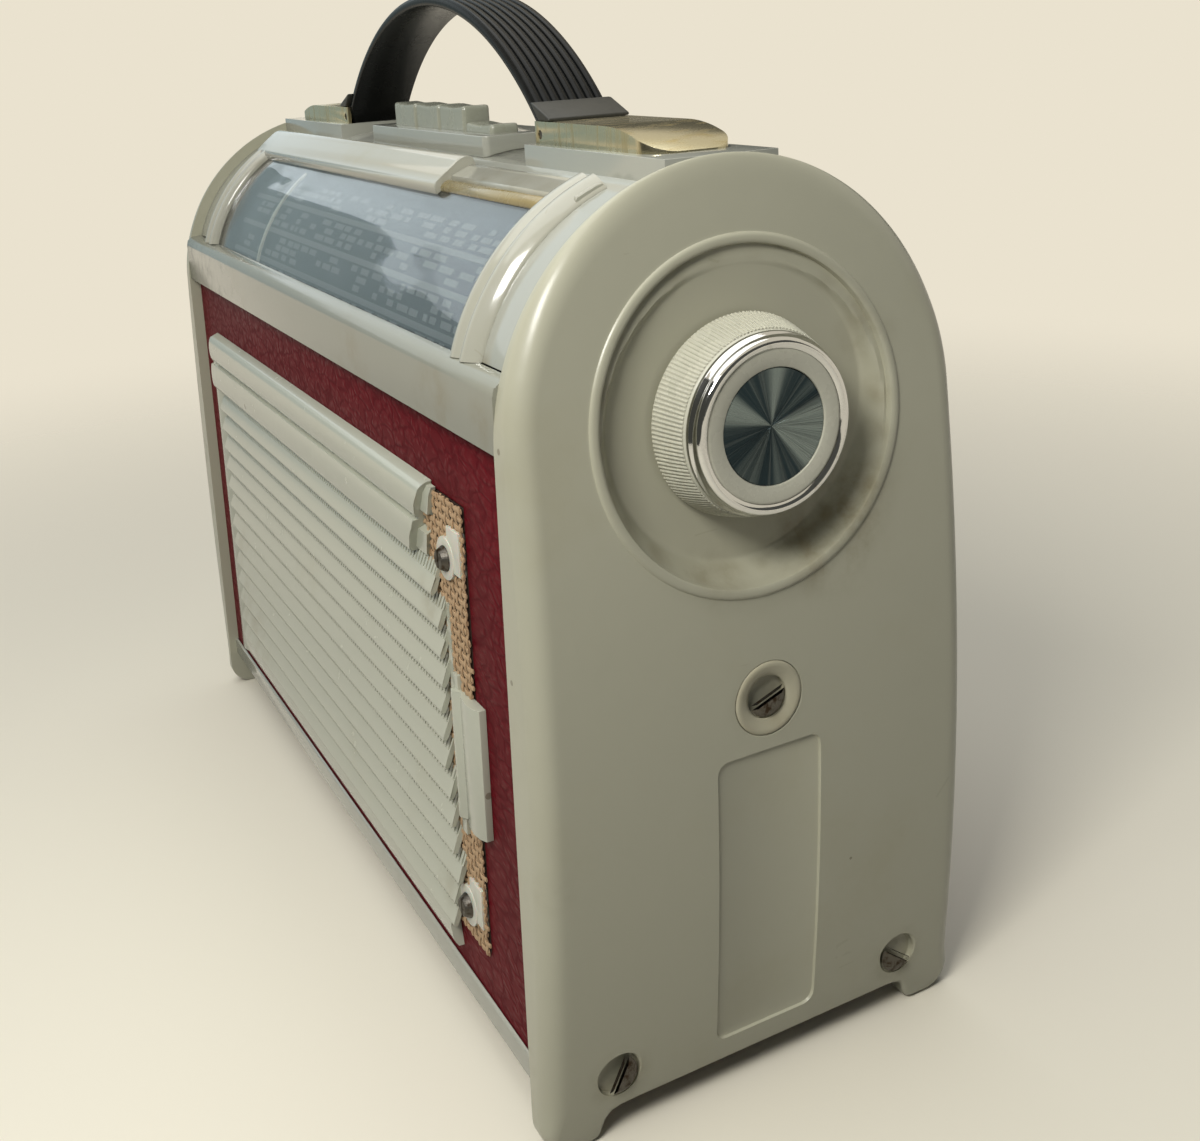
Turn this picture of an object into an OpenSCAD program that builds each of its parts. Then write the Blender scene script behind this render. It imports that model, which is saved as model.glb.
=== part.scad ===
// A portable transistor radio: a leatherette-covered case between two moulded end caps, with an
// arched top that carries the dial, a bank of four keys and a strap handle.
// Millimetres. +X is the end with the tuning knob, -Y the front, +Z up. The origin lies under the
// middle of the case, on the plane that the feet stand on.

/* [Case] */
// Distance between the inner planes of the two end caps
case_len = 236; // [226:1:250]
// Half of the caps' depth at the plane of the feet
foot_half = 50; // [49.5:0.1:51]
// Radius of the caps' arched top
arch_r = 47.9; // [47.5:0.1:48.6]
// Height at which the leaning sides meet the arch
spring_z = 138.9; // [137.5:0.1:141]
// How far the panels and the cover sit inside the caps' outline
inset = 3; // [2.8:0.1:3.3]
// Thickness of the front and back panels
panel_t = 4; // [3.6:0.1:4.3]
// Wall of the moulded top cover
cover_t = 2.5; // [2:0.1:2.8]
// Underside of the wooden bottom above the feet
case_bottom = 12; // [11:0.2:12.6]
// Thickness of the wooden bottom
bottom_t = 4; // [3.5:0.1:5]
// Height of the leatherette panels' top edge
panel_top = 139.4; // [138.8:0.1:139.8]

/* [End caps] */
// Thickness of a cap from its inner plane to the crown of its face
cap_depth = 10.5; // [10:0.1:11.5]
// Height of the crown line of the face
crown_z = 80; // [74:1:86]
// Radius of the crowned face
crown_r = 588; // [560:1:640]
// Rounding of the outer edge of a cap
cap_fillet = 4.4; // [3.5:0.1:5]
// Wall of a cap
cap_wall = 2.4; // [2.2:0.1:2.6]
// Depth of the locating rib that enters the case
rib_depth = 3; // [2:0.1:4]
// Gap between the locating rib and the panels
rib_gap = 0.15; // [0.1:0.05:0.3]
// Width of a foot lobe
foot_w = 12; // [10:0.5:14]
// Height of the hollow between the feet
foot_h = 6.2; // [5:0.1:6.4]
// Half of the width of the shallow panel on the face
face_panel_half = 11.8; // [9:0.1:14]
// Lower and upper ends of the shallow panel
face_panel_z = [12, 75];
// Depth of the shallow panel
face_panel_depth = 0.6; // [0.4:0.1:0.9]

/* [Knobs] */
// Height of the knob axis
knob_z = 139.5; // [138.5:0.1:140]
// Radius of the knob well at the face
well_r = 31.5; // [31:0.1:32]
// Radius of the knob well's floor
floor_r = 27.7; // [27:0.1:28.5]
// Width of the bead round the well
bead_w = 1.3; // [1:0.1:1.8]
// Height of the bead above the face
bead_h = 0.5; // [0.3:0.1:0.8]
// Wall of the well
well_wall = 2.2; // [1.8:0.1:2.4]
// Distance from the cap's inner plane to the well's floor
floor_x = 2.8; // [2.5:0.1:3]
// Radius of the knob's fluted skirt at its base
skirt_r = 19.4; // [18.5:0.1:20]
// Length of the fluted skirt
skirt_len = 8.2; // [7.5:0.1:9]
// Gap between the skirt and the floor of its well
skirt_gap = 0.6; // [0.4:0.1:0.8]
// Number of flutes
flutes = 64; // [48:1:80]
// Outer radius of the bright ring
ring_r = 16.4; // [15.8:0.1:16.8]
// Outer radius of the pale flat ring inside it
flat_r = 14.2; // [13.6:0.1:14.6]
// Radius of the spun metal disc
disc_r = 10.8; // [10:0.1:11.5]
// Radius of the knob shafts
shaft_r = 3; // [2.5:0.1:3.2]
// Running clearance of a shaft in its hole
shaft_gap = 0.06; // [0.03:0.01:0.09]
// Radius of the spindle that the drive cord winds on
spindle_r = 5; // [4.5:0.1:5.5]

/* [Screws] */
// Radius of the cap screws' heads
head_r = 4; // [3.6:0.1:4.2]
// Radius of the cap screws' shanks
shank_r = 2; // [1.7:0.1:2.1]
// Clearance of a screw in its hole
screw_gap = 0.05; // [0.03:0.01:0.09]
// Height of the middle screw of each cap
mid_screw_z = 85.5; // [84:0.5:87]
// Radius of the collar round the middle screw
collar_r = 7.45; // [7:0.05:7.8]
// Distance of the two lower screws from the middle
low_screw_y = 34; // [33:0.2:35]
// Height of the two lower screws
low_screw_z = 14.2; // [13.6:0.1:14.8]

/* [Grille] */
// Half of the grille's length
grille_half = 100; // [98:0.5:101]
// Lower and upper edges of the grille
grille_z = [20, 125];
// Number of louvres
louvres = 13; // [11:1:14]
// Height of the top rail
top_rail_h = 17; // [15:0.5:18]
// Height of the bottom rail
low_rail_h = 6.8; // [6:0.1:8]
// Width of the left border
border_w = 7; // [6:0.5:9]
// How far the louvres stop short of the grille's right end, where it is broken
broken_len = 14.4; // [13.6:0.2:16]
// Distance between the notches along the louvres' lower edges
notch_pitch = 8; // [6:0.5:16]
// Distance of the grille's screws from its ends
screw_inset = 13; // [12.4:0.1:13.2]
// Heights of the grille's screws
grille_screw_z = [34.5, 111];

/* [Speaker] */
// Height of the speaker's axis
speaker_z = 72; // [70:0.5:74]
// Outer radius of the speaker's rim
speaker_r = 46; // [44:0.5:47]
// Depth of the basket
basket_h = 22; // [18:0.5:24]
// Radius of the magnet
magnet_r = 20; // [17:0.5:22]
// Length of the magnet
magnet_h = 14; // [10:0.5:16]

/* [Dial] */
// Half of the dial opening's length
dial_half = 93; // [91:0.5:94]
// Width of the ribs at its ends
dial_rib_w = 10.5; // [9.5:0.1:11]
// Angle of the upper edge of the top rail, from the top towards the front
rail_a0 = 20.5; // [19.5:0.1:21.5]
// Angle of its lower edge
rail_a1 = 34.5; // [33.5:0.1:35.5]
// Where the raised part of the top rail stops
rail_step_x = 44; // [30:1:60]
// Height of the sill's top edge
sill_top = 152.6; // [152:0.1:153]
// Thickness of the clear lens
lens_t = 1.4; // [1.2:0.1:1.6]
// Thickness of the scale plate
scale_t = 1; // [0.8:0.1:1.2]
// Where the pointer stands
pointer_x = -55; // [-56:1:54]
// Width of the pointer
pointer_w = 1.4; // [1:0.1:2]
// Radius of the rail that the pointer slides on
guide_r = 1.25; // [1:0.05:1.4]

/* [Keys] */
// Distance between two keys
key_pitch = 16; // [15:0.1:16.4]
// Gap between two keys
key_gap = 0.6; // [0.5:0.1:0.8]
// Depth of a key from front to back
key_d = 7; // [6:0.1:7.4]
// Middle of the keys, behind the front
key_y = -2.8; // [-3.4:0.1:-2.2]
// Height of a raised key's top
key_top = 193; // [191.5:0.1:194]
// Travel of a key
key_travel = 3.8; // [3:0.1:4]
// Height of the plinth round the keys
key_plinth_top = 187.2; // [186.6:0.1:188]
// Half of the plinth's length
key_plinth_half = 38; // [36:0.5:40]
// Half of the plinth's depth
key_plinth_d = 11; // [10.5:0.1:12]

/* [Handle] */
// Radius of the strap's outer face
strap_r = 85.2; // [82:0.2:87]
// Height of the strap's crown
strap_top = 219.2; // [217:0.2:221]
// Thickness of the strap
strap_t = 2.6; // [2.2:0.1:2.8]
// Width of the strap
strap_w = 17; // [15:0.1:17]
// Grooves along the strap's outer face
strap_grooves = 7; // [5:1:9]
// Inner end of a hood
hood_x0 = 61.5; // [60.5:0.1:62.5]
// Nose of a hood
hood_x1 = 109.5; // [106:0.5:112]
// Half of a hood's width
hood_half = 9.5; // [9.5:0.1:10]
// Height of a hood
hood_h = 4.6; // [4.4:0.1:5]
// Sheet thickness of a hood
hood_t = 0.9; // [0.7:0.05:1]
// Half of the width of the plinths under the hoods
plinth_half = 12; // [11.5:0.1:13]
// Height of the plinths' tops
plinth_top = 186.6; // [186.2:0.1:187]

/* [Inside] */
// Height of the chassis plate's upper face
chassis_z = 133.2; // [132.6:0.1:133.6]
// Sheet thickness of the chassis
chassis_t = 1.2; // [1:0.1:1.5]
// Distance of the chassis' end flanges from the caps' inner planes
flange_back = 6; // [5.4:0.1:7]
// Axis of the tuning capacitor and its drum: depth and height
gang_yz = [1, 90];
// Radius of the drive drum, which gives the pointer's travel
drum_r = 38; // [36:0.5:38]
// Radius of the tuning capacitor's spindle
gang_shaft_r = 2; // [1.5:0.1:2.5]
// Clearance of pieces that are pushed onto each other
push_gap = 0.02; // [0.01:0.01:0.04]
// Radius of the ferrite rod
rod_r = 5; // [4:0.1:5.5]
// Place of the ferrite rod: depth and height
rod_yz = [22, 160];
// Size of one flat battery
battery = [62, 22, 67];

/* [Hidden] */
$fn = 64;

x_in = case_len / 2;
lean = atan((foot_half - arch_r) / spring_z);
cover_r = arch_r - inset;
face_x = x_in + cap_depth;
lens_r = cover_r + 0.4;
lens_low_z = sill_top - 6.2;
scale_r = lens_r - lens_t - 2.7;
pointer_r = scale_r + 1.1;
strap_z = strap_top - strap_r;
floor_at = x_in + floor_x;
skirt_x = floor_at + skirt_gap;
ring_x = skirt_x + skirt_len;
baffle_y = inset + panel_t + 2.5;
flange_x = x_in - flange_back;
tab_x = x_in - 20;
drum_x = x_in - 32;
gang_x = [drum_x - 40, drum_x - 10];
broken_x = grille_half - broken_len;
grille_screw_x = grille_half - screw_inset;
key_bottom_gap = 0.4;
cream = [0.80, 0.80, 0.73];
ivory = [0.87, 0.86, 0.78];
burgundy = [0.36, 0.06, 0.09];
steel = [0.45, 0.44, 0.42];
chrome = [0.78, 0.78, 0.80];
dark = [0.13, 0.13, 0.13];

function half_depth(z) = foot_half - (foot_half - arch_r) * z / spring_z;
function face_at(z) = face_x - crown_r + sqrt(pow(crown_r, 2) - pow(z - crown_z, 2));

// The cap's outline as [y, z] points on the +Y side, from the top down to the foot, drawn in by d.
corner_r = 6.5;
arch_steps = 20;
corner_steps = 4;
side_steps = 9;
function outline(d) = let (r = max(corner_r - d, 0.4), zc = d + r) concat(
    [for (i = [1:arch_steps]) let (a = 90 * i / arch_steps)
        [(arch_r - d) * sin(a), spring_z + (arch_r - d) * cos(a)]],
    [for (k = [1:side_steps]) let (z = spring_z + (zc - spring_z) * k / side_steps)
        [half_depth(z) - d, z]],
    [for (i = [1:corner_steps]) let (a = 90 * i / corner_steps)
        [half_depth(zc) - d - r + r * cos(a), zc - r * sin(a)]]);

// A closed ring of [x, y, z] points round the outline, drawn in by d. A flat ring lies in the
// inner plane, any other one lies behind the crowned face by the depth back.
function ring_points(d, back, flat) =
    let (side = outline(d), top = [0, spring_z + arch_r - d])
    [for (p = concat([top], side, [for (i = [len(side) - 1:-1:0]) [-side[i][0], side[i][1]]]))
        [flat ? x_in : face_at(p[1]) - back * edge_scale(p[1]), p[0], p[1]]];
// The edge rounding shrinks towards the top, where the cap runs out thin, and towards the feet.
foot_edge = 0.3;
function edge_scale(z) = min(1, (face_at(z) - x_in) / cap_fillet * 0.8, foot_edge + z / 15);

// The solid of a cap: a prism from the inner plane to the crowned face, with a rounded outer edge.
fillet_steps = 4;
module cap_solid() {
    flat = ring_points(0, 0, true);
    rings = concat([flat],
        [for (k = [0:fillet_steps]) let (a = 90 * k / fillet_steps)
            [for (i = [0:len(flat) - 1])
                ring_points(cap_fillet * edge_scale(flat[i][2]) * (1 - cos(a)),
                    cap_fillet * (1 - sin(a)), false)[i]]]);
    n = len(flat);
    m = len(rings);
    h = (n - 1) / 2;
    polyhedron(
        points = [for (r = rings) each r],
        faces = concat(
            [[for (i = [n - 1:-1:0]) i]],
            [for (k = [0:m - 2]) for (i = [0:n - 1]) let (j = (i + 1) % n)
                each [[k * n + i, (k + 1) * n + j, (k + 1) * n + i],
                    [k * n + i, k * n + j, (k + 1) * n + j]]],
            [[(m - 1) * n, (m - 1) * n + 1, (m - 1) * n + n - 1]],
            [for (i = [1:h - 1]) let (b = (m - 1) * n)
                [b + i, b + i + 1, b + n - i - 1, b + n - i]]));
}

// A sector of a ring about the arch's axis: radii, x range and angles from the top to the front.
module sector(r0, r1, x0, x1, a0, a1) {
    translate([0, 0, spring_z]) rotate([0, 90, 0]) rotate([0, 0, 180 + a0])
        rotate_extrude(angle = a1 - a0, $fn = 120) translate([r0, x0]) square([r1 - r0, x1 - x0]);
}

// The same sweep for a profile given as [radius, x] points.
module sweep_profile(points, a0, a1) {
    translate([0, 0, spring_z]) rotate([0, 90, 0]) rotate([0, 0, 180 + a0])
        rotate_extrude(angle = a1 - a0, $fn = 120) polygon(points);
}

// A prism along X from [y, z] points.
module bar_x(points, x0, x1) {
    translate([x0, 0, 0]) rotate([90, 0, 90]) linear_extrude(x1 - x0) polygon(points);
}

// A cylinder along X.
module rod_x(r, x0, x1, y = 0, z = 0) {
    translate([x0, y, z]) rotate([0, 90, 0]) cylinder(r = r, h = x1 - x0, $fn = r > 20 ? 240 : 64);
}

// A solid of revolution along X from [radius, x] points.
module turned_x(points, y = 0, z = 0) {
    translate([0, y, z]) rotate([0, 90, 0]) rotate_extrude($fn = 120) polygon(points);
}

// The frame of the leaning front: y is the depth behind the caps' outline, z runs up the slope.
module on_front() {
    translate([0, -foot_half, 0]) rotate([-lean, 0, 0]) children();
}

module on_back() {
    mirror([0, 1, 0]) on_front() children();
}

module left_hand() {
    mirror([1, 0, 0]) children();
}

// End caps
module foot_hollow() {
    inner = foot_half - foot_w;
    r = 4;
    bar_x([[-inner, -1], [inner, -1], [inner - r * 0.3, 0.4], [inner - r, foot_h - 1.4],
        [inner - r - 3, foot_h], [-inner + r + 3, foot_h], [-inner + r, foot_h - 1.4],
        [-inner + r * 0.3, 0.4]], x_in - 20, face_x + 5);
}

module face_panel_cut() {
    r = 2.5;
    zs = [face_panel_z[0] + r, face_panel_z[1] - r];
    difference() {
        translate([x_in, 0, 0]) rotate([90, 0, 90]) linear_extrude(cap_depth + 5) union() {
            translate([-face_panel_half, zs[0]]) square([2 * face_panel_half, zs[1] - zs[0]]);
            translate([-face_panel_half + r, face_panel_z[0]])
                square([2 * face_panel_half - 2 * r, face_panel_z[1] - face_panel_z[0]]);
            for (y = [-1, 1]) for (z = zs) translate([y * (face_panel_half - r), z]) circle(r, $fn = 24);
        }
        crown(face_panel_depth);
    }
}

// The case's outline as a prism along X, drawn in by d
module outline_prism(d, x0, x1) {
    side = outline(d);
    bar_x(concat([[0, spring_z + arch_r - d]], side,
        [for (i = [len(side) - 1:-1:0]) [-side[i][0], side[i][1]]]), x0, x1);
}

// Everything behind the crowned face, moved inwards by d
module crown(d = 0) {
    translate([face_x - crown_r - d, 100, crown_z]) rotate([90, 0, 0])
        cylinder(r = crown_r, h = 200, $fn = 900);
}

module end_cap() {
    rib_in = inset + panel_t + rib_gap + 1.5;
    mid_x = face_at(mid_screw_z);
    low_x = face_at(low_screw_z);
    difference() {
        union() {
            difference() {
                cap_solid();
                intersection() {
                    outline_prism(rib_in + 0.35, x_in - 1, face_x);
                    crown(cap_wall);
                }
            }
            // Locating rib inside the case
            difference() {
                outline_prism(inset + panel_t + rib_gap, x_in - rib_depth, x_in + 0.5);
                outline_prism(rib_in, x_in - rib_depth - 1, x_in + 1);
                translate([x_in - rib_depth - 1, -80, -1])
                    cube([rib_depth + 1, 160, case_bottom + bottom_t + 8]);
            }
            // Wall of the knob well
            intersection() {
                turned_x([[0, floor_at - well_wall], [floor_r + 1.5, floor_at - well_wall],
                    [well_r + 2.6, floor_at + 4], [well_r + 2.6, face_x + 2], [0, face_x + 2]], 0, knob_z);
                crown(0.3);
            }
            intersection() {
                well_bead();
                crown(-bead_h);
            }
            // Bosses of the screws
            rod_x(6, flange_x + chassis_t + 0.1, mid_x - cap_wall / 2, 0, mid_screw_z);
            for (s = [-1, 1]) intersection() {
                rod_x(5.5, x_in, low_x - cap_wall / 2, s * low_screw_y, low_screw_z);
                translate([0, -80, foot_h + 0.2]) cube([200, 160, 60]);
            }
        }
        // The open well
        turned_x([[0, floor_at], [floor_r, floor_at], [floor_r + 1.2, floor_at + 1.2],
            [well_r, floor_at + 5.5], [well_r, face_x + 3], [0, face_x + 3]], 0, knob_z);
        rod_x(shaft_r + shaft_gap, x_in - 20, face_x, 0, knob_z);
        rod_x(shank_r + screw_gap, x_in - 20, face_x + 1, 0, mid_screw_z);
        rod_x(collar_r + screw_gap, mid_x - 2, face_x + 1, 0, mid_screw_z);
        for (s = [-1, 1]) {
            rod_x(shank_r + screw_gap, x_in - 2, face_x, s * low_screw_y, low_screw_z);
            rod_x(head_r + 0.6, low_x - 1.6, face_x + 1, s * low_screw_y, low_screw_z);
        }
        face_panel_cut();
        foot_hollow();
    }
}

module well_bead() {
    difference() {
        rod_x(well_r + bead_w, x_in, face_x + 3, 0, knob_z);
        rod_x(well_r - 0.01, x_in - 1, face_x + 4, 0, knob_z);
    }
}

module end_cap_right() {
    color(cream) end_cap();
}

module end_cap_left() {
    color(cream) left_hand() end_cap();
}

// A slotted screw along X: its head's underside at x, its shank running towards the case.
module slotted_screw(x, len, y, z, turn = 0) {
    difference() {
        union() {
            rod_x(shank_r, x - len, x, y, z);
            rod_x(head_r, x, x + 1.4, y, z);
            translate([x + 1.4, y, z]) rotate([0, 90, 0]) cylinder(r1 = head_r, r2 = head_r - 1.2, h = 0.8);
        }
        translate([x + 1.3, y, z]) rotate([turn, 0, 0]) translate([0, -5, -0.5]) cube([2, 10, 1]);
    }
}

module cap_screws() {
    color(steel) for (s = [0, 1]) mirror([s, 0, 0]) {
        slotted_screw(face_at(mid_screw_z) - 2, 20, 0, mid_screw_z, 70);
        for (k = [-1, 1])
            slotted_screw(face_at(low_screw_z) - 1.6, 18, k * low_screw_y, low_screw_z, 40 - 20 * k);
    }
}

module screw_collars() {
    color(ivory) for (s = [0, 1]) mirror([s, 0, 0])
        turned_x([[head_r + 0.3, face_at(mid_screw_z) - 2], [collar_r, face_at(mid_screw_z) - 2],
            [collar_r, face_at(mid_screw_z) - 0.1], [collar_r - 0.6, face_at(mid_screw_z) + 0.2],
            [head_r + 1.1, face_at(mid_screw_z) - 0.3], [head_r + 0.3, face_at(mid_screw_z) - 0.6]],
            0, mid_screw_z);
}

// Panels of the case
cloth_half = grille_half - 5.5;
cloth_z = [grille_z[0] + 7, grille_z[1] - 2];

module front_panel() {
    color(burgundy) on_front() difference() {
        translate([-x_in, inset, case_bottom]) cube([case_len, panel_t, panel_top - case_bottom]);
        translate([-cloth_half, inset - 1, cloth_z[0]])
            cube([2 * cloth_half, panel_t + 2, cloth_z[1] - cloth_z[0]]);
    }
}

module back_panel() {
    color(burgundy) on_back()
        translate([-x_in, inset, case_bottom]) cube([case_len, panel_t, panel_top - case_bottom]);
}

module bottom_panel() {
    top = case_bottom + bottom_t;
    batten = 6;
    edge = inset + panel_t;
    reach = half_depth(top) - edge - 2.76;
    color(burgundy) difference() {
        union() {
            bar_x([[-half_depth(case_bottom) + edge, case_bottom],
                [half_depth(case_bottom) - edge, case_bottom], [half_depth(top) - edge, top],
                [-half_depth(top) + edge, top]], -x_in, x_in);
            for (s = [0, 1]) mirror([s, 0, 0])
                translate([x_in - 16, -reach, top - 0.01]) cube([16, 2 * reach, batten]);
        }
        for (s = [-1, 1]) for (k = [-1, 1])
            translate([s > 0 ? x_in - 14 : -x_in - 1, k * low_screw_y, low_screw_z]) rotate([0, 90, 0])
                cylinder(r = shank_r + screw_gap, h = 15);
    }
}

module case_trim() {
    bar_x([[inset - 0.8, case_bottom - 1.2], [inset + 6, case_bottom - 1.2], [inset + 6, case_bottom],
        [inset, case_bottom], [inset, case_bottom + 4], [inset - 0.3, case_bottom + 4.3],
        [inset - 0.8, case_bottom + 3.8]], -x_in, x_in);
}

module front_trim() {
    color(ivory) on_front() case_trim();
}

module rear_trim() {
    color(ivory) on_back() case_trim();
}

// The arched cover, with the plinths of the handle and the band along its rear edge
key_open_half = 2 * key_pitch + 0.3 - key_gap / 2;

module key_opening(z0, z1) {
    translate([-key_open_half, key_y - key_d / 2 - 0.3, z0])
        cube([2 * key_open_half, key_d + 0.6, z1 - z0]);
}

module handle_plinth() {
    low = spring_z + cover_r - cover_t - 6;
    translate([hood_x0 - 0.5, -plinth_half, low])
        cube([x_in - hood_x0 + 0.5, 2 * plinth_half, plinth_top - low]);
}

module top_cover() {
    y = arch_r - 0.6;
    color(cream) difference() {
        union() {
            difference() {
                rod_x(cover_r, -x_in, x_in, 0, spring_z);
                translate([-x_in - 1, -60, 80]) cube([case_len + 2, 120, sill_top - 82.4]);
            }
            for (s = [0, 1]) mirror([s, 0, 0]) handle_plinth();
            bar_x([[y - 7.3, panel_top], [y, panel_top], [y, sill_top - 3], [y - 0.5, sill_top - 1.4],
                [y - 1.7, sill_top - 0.4], [y - 3.9, sill_top + 0.6], [y - 5.3, sill_top],
                [y - 7.3, sill_top - 3.6]], -x_in, x_in);
        }
        rod_x(cover_r - cover_t, -x_in - 1, x_in + 1, 0, spring_z);
        translate([-x_in - 1, -60, sill_top - 20]) cube([case_len + 2, 40, 20]);
        sector(cover_r - cover_t - 2, cover_r + 5, -dial_half - 4, dial_half + 4, rail_a1 - 4, 95);
        key_opening(160, 200);
    }
}

// Dial
module dial_sill() {
    y = -arch_r + 0.4;
    color(cream) difference() {
        bar_x([[y, panel_top], [y, sill_top - 2.8], [y + 0.4, sill_top - 1.2], [y + 1.6, sill_top - 0.3],
            [y + 4.3, sill_top], [y + 3.9, lens_low_z - 0.4], [y + 6.5, lens_low_z - 0.4],
            [y + 6.5, panel_top]], -x_in, x_in);
        rod_x(lens_r + 0.1, -dial_half - 3.7, dial_half + 3.7, 0, spring_z);
    }
}

module rib_profile_sweep(x0) {
    // Two crests with a valley between them, stepping down outwards onto the cover
    sweep_profile([[cover_r - 0.4, x0], [cover_r + 1.4, x0 + 0.3], [cover_r + 2.4, x0 + 1.6],
        [cover_r + 2.6, x0 + 3], [cover_r + 1.7, x0 + 4.4], [cover_r + 1.7, x0 + 5.2],
        [cover_r + 2.7, x0 + 6.4], [cover_r + 2.7, x0 + 7.6], [cover_r + 1.2, x0 + 9.6],
        [cover_r + 0.2, x0 + dial_rib_w], [cover_r - 0.4, x0 + dial_rib_w]], rail_a0, 76);
}

function polar(a, r) = [-r * sin(a), spring_z + r * cos(a)];

module dial_frame() {
    end = dial_half + dial_rib_w;
    color(cream) difference() {
        union() {
            rib_profile_sweep(dial_half);
            mirror([1, 0, 0]) rib_profile_sweep(dial_half);
            // Raised part of the top rail, as far as it survives
            bar_x([polar(rail_a1, cover_r - 1), polar(rail_a1 - 0.6, cover_r + 2.2),
                polar(27, cover_r + 3.3), polar(23, cover_r + 3.9), polar(rail_a0 - 0.2, cover_r + 2.9),
                polar(rail_a0 - 0.2, cover_r - 1)], -end + 0.1, rail_step_x);
            // Low ledge beyond it
            bar_x([polar(rail_a1, cover_r - 1), polar(rail_a1 - 0.8, cover_r + 1.3),
                polar(29.5, cover_r + 1.9), polar(28.4, cover_r + 1.2), polar(23, cover_r + 1.6),
                polar(rail_a0 - 0.2, cover_r + 1.2), polar(rail_a0 - 0.2, cover_r - 1)],
                rail_step_x - 0.1, end - 0.1);
        }
        rod_x(cover_r, -200, 200, 0, spring_z);
        rod_x(lens_r + 0.05, -dial_half - 3.9, dial_half + 3.9, 0, spring_z);
        translate([-200, -60, sill_top - 30]) cube([400, 60, 30]);
    }
}

module dial_lens() {
    a_low = acos((lens_low_z - spring_z) / lens_r);
    color([0.80, 0.86, 0.88, 0.5])
        sector(lens_r - lens_t, lens_r, -dial_half - 3.5, dial_half + 3.5, rail_a1 - 3.5, a_low);
}

module dial_scale() {
    a_low = acos((lens_low_z + 2.4 - spring_z) / scale_r);
    cheek = dial_half + 3;
    color([0.30, 0.33, 0.36]) union() {
        sector(scale_r - scale_t, scale_r, -cheek, cheek, rail_a1 - 6, a_low);
        for (s = [0, 1]) mirror([s, 0, 0]) {
            // Cheeks that carry the plate: up to the cover's inner face, down to the rail
            difference() {
                sector(scale_r - 4, cover_r - cover_t - 0.05, cheek - 0.1, cheek + 8, 22, a_low);
                rod_x(scale_r - 4.5, 0, 200, 0, spring_z);
            }
            difference() {
                translate([cheek + 0.5, guide_yz[0] - 2.6, guide_yz[1] - 2.5]) cube([2.5, 5.2, 9]);
                rod_x(guide_r + 0.03, 0, 200, guide_yz[0], guide_yz[1]);
            }
        }
    }
}

guide_yz = [-38, 143.5];

module pointer_rail() {
    color(steel) rod_x(guide_r, -dial_half - 6, dial_half + 6, guide_yz[0], guide_yz[1]);
}

module dial_pointer() {
    a_low = acos((147.4 - spring_z) / pointer_r);
    color([0.88, 0.87, 0.80]) translate([pointer_x, 0, 0]) difference() {
        union() {
            sector(pointer_r - 0.3, pointer_r + 0.3, -pointer_w / 2, pointer_w / 2, rail_a1 + 1, a_low);
            translate([-pointer_w / 2, -pointer_r - 0.3 + 0.6, 147]) cube([pointer_w, 5, 1]);
            translate([-2.5, guide_yz[0] - 2.2, guide_yz[1] - 2.2]) cube([5, 4.4, 4.4]);
            translate([-pointer_w / 2, guide_yz[0] - 0.6, guide_yz[1] + 1.5]) cube([pointer_w, 1.2, 3]);
        }
        rod_x(guide_r + 0.05, -5, 5, guide_yz[0], guide_yz[1]);
    }
}

// Keys
module key_plinth() {
    r = 1.5;
    color(cream) difference() {
        translate([0, 0, spring_z + 30]) linear_extrude(key_plinth_top - spring_z - 30) union() {
            translate([-key_plinth_half + r, -key_plinth_d])
                square([2 * key_plinth_half - 2 * r, 2 * key_plinth_d]);
            translate([-key_plinth_half, -key_plinth_d + r])
                square([2 * key_plinth_half, 2 * key_plinth_d - 2 * r]);
            for (x = [-1, 1]) for (y = [-1, 1])
                translate([x * (key_plinth_half - r), y * (key_plinth_d - r)]) circle(r, $fn = 24);
        }
        rod_x(cover_r, -100, 100, 0, spring_z);
        key_opening(160, 200);
    }
}

key_h = 10.5;
stem = [6, 2.4];
bank_top = key_top - key_h - key_travel - key_bottom_gap;

// One key: a cap with a dished top over a flat stem.
module key_body(i) {
    w = key_pitch - key_gap;
    translate([(i - 2.5) * key_pitch, key_y, i == 4 ? -key_travel : 0]) difference() {
        union() {
            translate([-w / 2, -key_d / 2, key_top - key_h]) cube([w, key_d, key_h]);
            translate([-stem[0] / 2, -stem[1] / 2, key_top - key_h - 14]) cube([stem[0], stem[1], 14.1]);
        }
        translate([0, -20, key_top + 27.4]) rotate([-90, 0, 0]) cylinder(r = 28.2, h = 40, $fn = 120);
    }
}

module key_1() { color(cream) key_body(1); }
module key_2() { color(cream) key_body(2); }
module key_3() { color(cream) key_body(3); }
module key_4() { color(cream) key_body(4); }

module key_switch() {
    post_w = 8;
    post_top = spring_z + sqrt(pow(cover_r - cover_t, 2) - 25) - 0.05;
    slot_gap = 0.3;
    color([0.42, 0.30, 0.18]) difference() {
        union() {
            translate([-key_open_half - 1, key_y - 6.5, bank_top - 20])
                cube([2 * key_open_half + 2, 13, 20]);
            for (s = [0, 1]) mirror([s, 0, 0])
                translate([key_open_half + 0.2, -5, bank_top - 12])
                    cube([post_w, 10, post_top - bank_top + 12]);
        }
        for (i = [1:4]) translate([(i - 2.5) * key_pitch, key_y, bank_top - 10])
            cube([stem[0] + 2 * slot_gap, stem[1] + 2 * slot_gap, 22], center = true);
    }
}

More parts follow.
